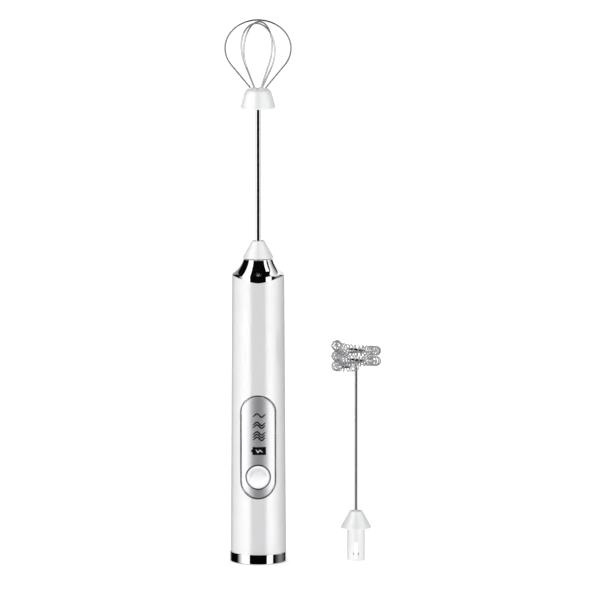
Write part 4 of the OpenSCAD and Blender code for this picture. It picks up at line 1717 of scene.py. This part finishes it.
@dataclass
class Studio:
    """World, floor, reflection cards and camera.

    Attributes:
        ambient: Strength of the even light that falls on everything.
        side_fall: How much weaker it is from the right than from the left, as a share.
        mirror_dark: How much darker the surround is in reflections, as a share.
        dome_r: Distance of the first card in metres.
        dome_step: How much farther each next card is.
        aim: The point that the camera looks at, in millimetres.
        distance: The camera's distance from the aim in metres.
        elevation: The camera's height above the horizon, in degrees.
        frame_mm: Width of the picture at the aim.
        cards: The reflection cards.
    """

    ambient: float = 0.78
    side_fall: float = 0.16
    mirror_dark: float = 0.998
    dome_r: float = 3.0
    dome_step: float = 0.04
    aim: Triple = (21.3, 0.0, 134.4)
    distance: float = 3.0
    elevation: float = 7.5
    frame_mm: float = 306.0
    cards: tuple[Card, ...] = (
        Card("low_left", Gloss.METAL, upright(-36, -66, -60, 5), (1.35, 1.25)),
        Card("low_left_fade", Gloss.METAL, upright(-66, -94, -60, 5), (1.2, 0.0)),
        Card(
            "left_sweep",
            Gloss.METAL,
            (
                ((-36, 5), (-79, 5)),
                ((-36, 10), (-79, 10)),
                ((-38, 25), (-78, 19.5)),
                ((-41, 37.5), (-82, 30)),
                ((-47.5, 51), (-90, 40)),
                ((-64, 64.6), (-104, 48.5)),
                ((-90, 71), (-118, 52)),
                ((-123, 71.5), (-132, 52.7)),
                ((-146, 67.5), (-144, 51)),
                ((-162, 62), (-158, 46)),
            ),
            (1.35, 1.2),
        ),
        Card(
            "right_strip",
            Gloss.METAL,
            (
                ((35, -60), (62, -60)),
                ((35, 8), (62, 8)),
                ((46, 25), (68, 21.5)),
                ((50, 36.5), (72, 32)),
                ((57, 50), (80, 43)),
                ((74, 61.5), (95, 52.5)),
                ((88, 65.5), (106, 55)),
            ),
            (1.3, 1.05),
        ),
        Card("low_right_rise", Gloss.METAL, upright(74, 100, -60, 6), (0.02, 0.24)),
        Card("low_right_fade", Gloss.METAL, upright(100, 138, -60, 6), (0.24, 0.0)),
        Card(
            "right_fade",
            Gloss.METAL,
            (
                ((82, 12), (122, 8)),
                ((82, 18.7), (122, 9.5)),
                ((86, 28.4), (125, 16)),
                ((93, 39), (130, 22)),
                ((104, 49), (136, 27)),
                ((114, 57), (143, 30)),
                ((127, 61), (150, 31)),
                ((142, 59), (156, 31)),
                ((156, 54), (164, 30)),
            ),
            (1.25, 0.1),
        ),
        Card("back_soft", Gloss.METAL, upright(148, 212, -60, 68), (1.1, 0.2)),
        Card("wire_left", Gloss.WIRE, upright(-56, -108, -72, 80), (1.4, 1.25)),
        Card("wire_left_fade", Gloss.WIRE, upright(-108, -178, -72, 80), (0.75, 0.4)),
        Card("wire_right", Gloss.WIRE, upright(55, 108, -72, 80), (1.15, 0.95)),
        Card("wire_right_fade", Gloss.WIRE, upright(108, 178, -72, 80), (0.65, 0.35)),
        Card("loop_front", Gloss.LOOP, upright(-64, 64, -72, 80), (1.25, 1.1)),
        Card("loop_left", Gloss.LOOP, upright(-70, -178, -72, 80), (0.5, 0.15)),
        Card("loop_right", Gloss.LOOP, upright(70, 178, -72, 80), (0.45, 0.15)),
        Card("coil_front", Gloss.COIL, upright(-60, 60, -72, 80), (0.45, 0.4)),
        Card("coil_left", Gloss.COIL, upright(-60, -178, -72, 80), (0.9, 0.2)),
        Card("coil_right", Gloss.COIL, upright(60, 178, -72, 80), (0.8, 0.2)),
        Card("plate_left", Gloss.PLATE, upright(-36, -150, -70, 70), (1.7, 1.4)),
        Card("plate_right", Gloss.PLATE, upright(38, 150, -70, 70), (1.7, 1.3)),
        Card("plate_middle", Gloss.PLATE, upright(-36, 38, -70, 70), (0.22, 0.2)),
        Card("shell_left", Gloss.PLASTIC, upright(-33, -62, -70, 60), (6.8, 7.6)),
        Card("shell_left_mid", Gloss.PLASTIC, upright(-62, -95, -70, 60), (7.4, 3.2)),
        Card("shell_left_fade", Gloss.PLASTIC, upright(-95, -140, -70, 60), (3.0, 0.1)),
        Card("shell_right", Gloss.PLASTIC, upright(34, 62, -70, 60), (6.6, 7.4)),
        Card("shell_right_mid", Gloss.PLASTIC, upright(62, 94, -70, 60), (7.2, 2.6)),
        Card("shell_right_fade", Gloss.PLASTIC, upright(94, 122, -70, 60), (2.4, 0.0)),
        Card("satin_left", Gloss.SATIN, upright(-22, -105, -60, 60), (4.8, 3.6)),
        Card("satin_right", Gloss.SATIN, upright(18, 92, -60, 60), (3.2, 2.4)),
        Card("seal_left", Gloss.SEAL, upright(-33, -50, -60, 60), (1.0, 20.0)),
        Card("seal_left_fade", Gloss.SEAL, upright(-50, -70, -60, 60), (20.0, 1.0)),
        Card("seal_right", Gloss.SEAL, upright(33, 50, -60, 60), (1.0, 20.0)),
        Card("seal_right_fade", Gloss.SEAL, upright(50, 70, -60, 60), (20.0, 1.0)),
        Card("button_front", Gloss.BUTTON, upright(-75, 75, -15, 44), (7.4, 7.4)),
    )

    def world(self) -> None:
        """Makes a white surround that lights surfaces evenly and stays dark in reflections."""
        world = bpy.data.worlds.new("surround")
        bpy.context.scene.world = world
        world.use_nodes = True
        graph = Graph(world.node_tree)
        seen = graph.add("ShaderNodeLightPath", output="Is Camera Ray")
        glossy = graph.add("ShaderNodeLightPath", output="Is Glossy Ray")
        way = graph.add("ShaderNodeTexCoord", output="Generated")
        side = graph.add("ShaderNodeSeparateXYZ", None, {0: way})
        soft = self.ambient * (1.0 - side * self.side_fall)
        strength = (seen + (1.0 - seen) * soft) * (1.0 - glossy * self.mirror_dark)
        glow = graph.add("ShaderNodeBackground", None, {"Color": rgb(1, 1, 1), "Strength": strength})
        graph.add("ShaderNodeOutputWorld", None, {"Surface": glow})

    def floor(self) -> None:
        """Makes the plain pale floor."""
        steps, radius, sunk = 96, 40.0, -0.0002
        mesh = bpy.data.meshes.new("floor")
        rim = [(x, y, sunk) for x, y in circle_path(radius, steps, turn=0.0)]
        mesh.from_pydata(rim, [], [tuple(range(steps))])
        floor = bpy.data.objects.new("floor", mesh)
        bpy.context.scene.collection.objects.link(floor)
        material = bpy.data.materials.new("pale_floor")
        material.use_nodes = True
        graph = Graph(material.node_tree)
        surface = graph.add(
            "ShaderNodeBsdfPrincipled",
            None,
            {
                "Base Color": rgb(0.93, 0.93, 0.93),
                "Roughness": 0.9,
                "Specular IOR Level": 0.0,
                "Emission Color": rgb(1, 1, 1),
                "Emission Strength": 0.42,
            },
        )
        graph.add("ShaderNodeOutputMaterial", None, {"Surface": surface})
        mesh.materials.append(material)
        floor.visible_glossy = False

    def _card(self, card: Card, dome_r: float) -> None:
        """Makes one card as a clear, glowing patch of a dome, which lets the cards behind it through."""
        across, between, lift = 12, 6, 0.1
        edges: list[tuple[Pair, Pair]] = []
        for start, stop in zip(card.rows, card.rows[1:]):
            edges += [tuple(mix(start[e], stop[e], k / between) for e in range(2)) for k in range(between)]
        edges.append(card.rows[-1])
        points: list[Triple] = []
        shares: list[float] = []
        for first, second in edges:
            for i in range(across + 1):
                share = i / across
                turn, rise = (math.radians(angle) for angle in mix(first, second, share))
                flat = dome_r * math.cos(rise)
                points.append((flat * math.sin(turn), -flat * math.cos(turn), dome_r * math.sin(rise) + lift))
                shares.append(share)
        mesh = bpy.data.meshes.new(card.name)
        mesh.from_pydata(points, [], quads(len(edges), across + 1, False, False))
        mesh.attributes.new("share", "FLOAT", "POINT").data.foreach_set("value", shares)
        item = bpy.data.objects.new(card.name, mesh)
        bpy.context.scene.collection.objects.link(item)
        material = bpy.data.materials.new(card.name)
        material.use_nodes = True
        graph = Graph(material.node_tree)
        share = graph.add("ShaderNodeAttribute", {"attribute_name": "share"}, None, "Fac")
        strength = graph.spread(share, card.glow[0], card.glow[1])
        glow = graph.add("ShaderNodeEmission", None, {"Color": rgb(1, 1, 1), "Strength": strength})
        clear = graph.add("ShaderNodeBsdfTransparent", None, {"Color": rgb(1, 1, 1)})
        both = graph.add("ShaderNodeAddShader", None, {0: glow, 1: clear})
        graph.add("ShaderNodeOutputMaterial", None, {"Surface": both})
        mesh.materials.append(material)
        item.light_linking.receiver_collection = card.group.members()
        item.visible_camera = False
        item.visible_diffuse = False
        item.visible_shadow = False
        item.visible_transmission = False

    def camera(self) -> None:
        """Places the camera in front, slightly above."""
        lens = bpy.data.cameras.new("camera")
        camera = bpy.data.objects.new("camera", lens)
        bpy.context.scene.collection.objects.link(camera)
        rise = math.radians(self.elevation)
        back = Vector((0.0, -math.cos(rise), math.sin(rise)))
        camera.location = Vector(self.aim) * MM + back * self.distance
        camera.rotation_mode = "QUATERNION"
        camera.rotation_quaternion = (-back).to_track_quat("-Z", "Y")
        lens.sensor_width = 36.0
        lens.lens = lens.sensor_width * self.distance / (self.frame_mm * MM)
        lens.clip_start, lens.clip_end = 0.05, 100.0
        bpy.context.scene.camera = camera

    def build(self) -> None:
        """Sets up the studio."""
        self.world()
        self.floor()
        for number, card in enumerate(self.cards):
            self._card(card, self.dome_r + self.dome_step * number)
        self.camera()
        view = bpy.context.scene.view_settings
        view.view_transform = "Standard"
        view.look = "None"
        LOG.info("studio with %d cards", len(self.cards))


def main() -> None:
    """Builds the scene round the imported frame."""
    logging.basicConfig(level=logging.INFO, format="%(name)s: %(message)s")
    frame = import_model()
    shell = HandleShell()
    wires = WireTree()
    shell.build()
    ControlPanel(shell).build()
    ChargePort().build()
    EggWhisk(wires).build()
    MilkWhisk(wires, CoilTree()).build()
    Inside(frame["nodes"]).build()
    Studio().build()


if __name__ == "__main__":
    main()
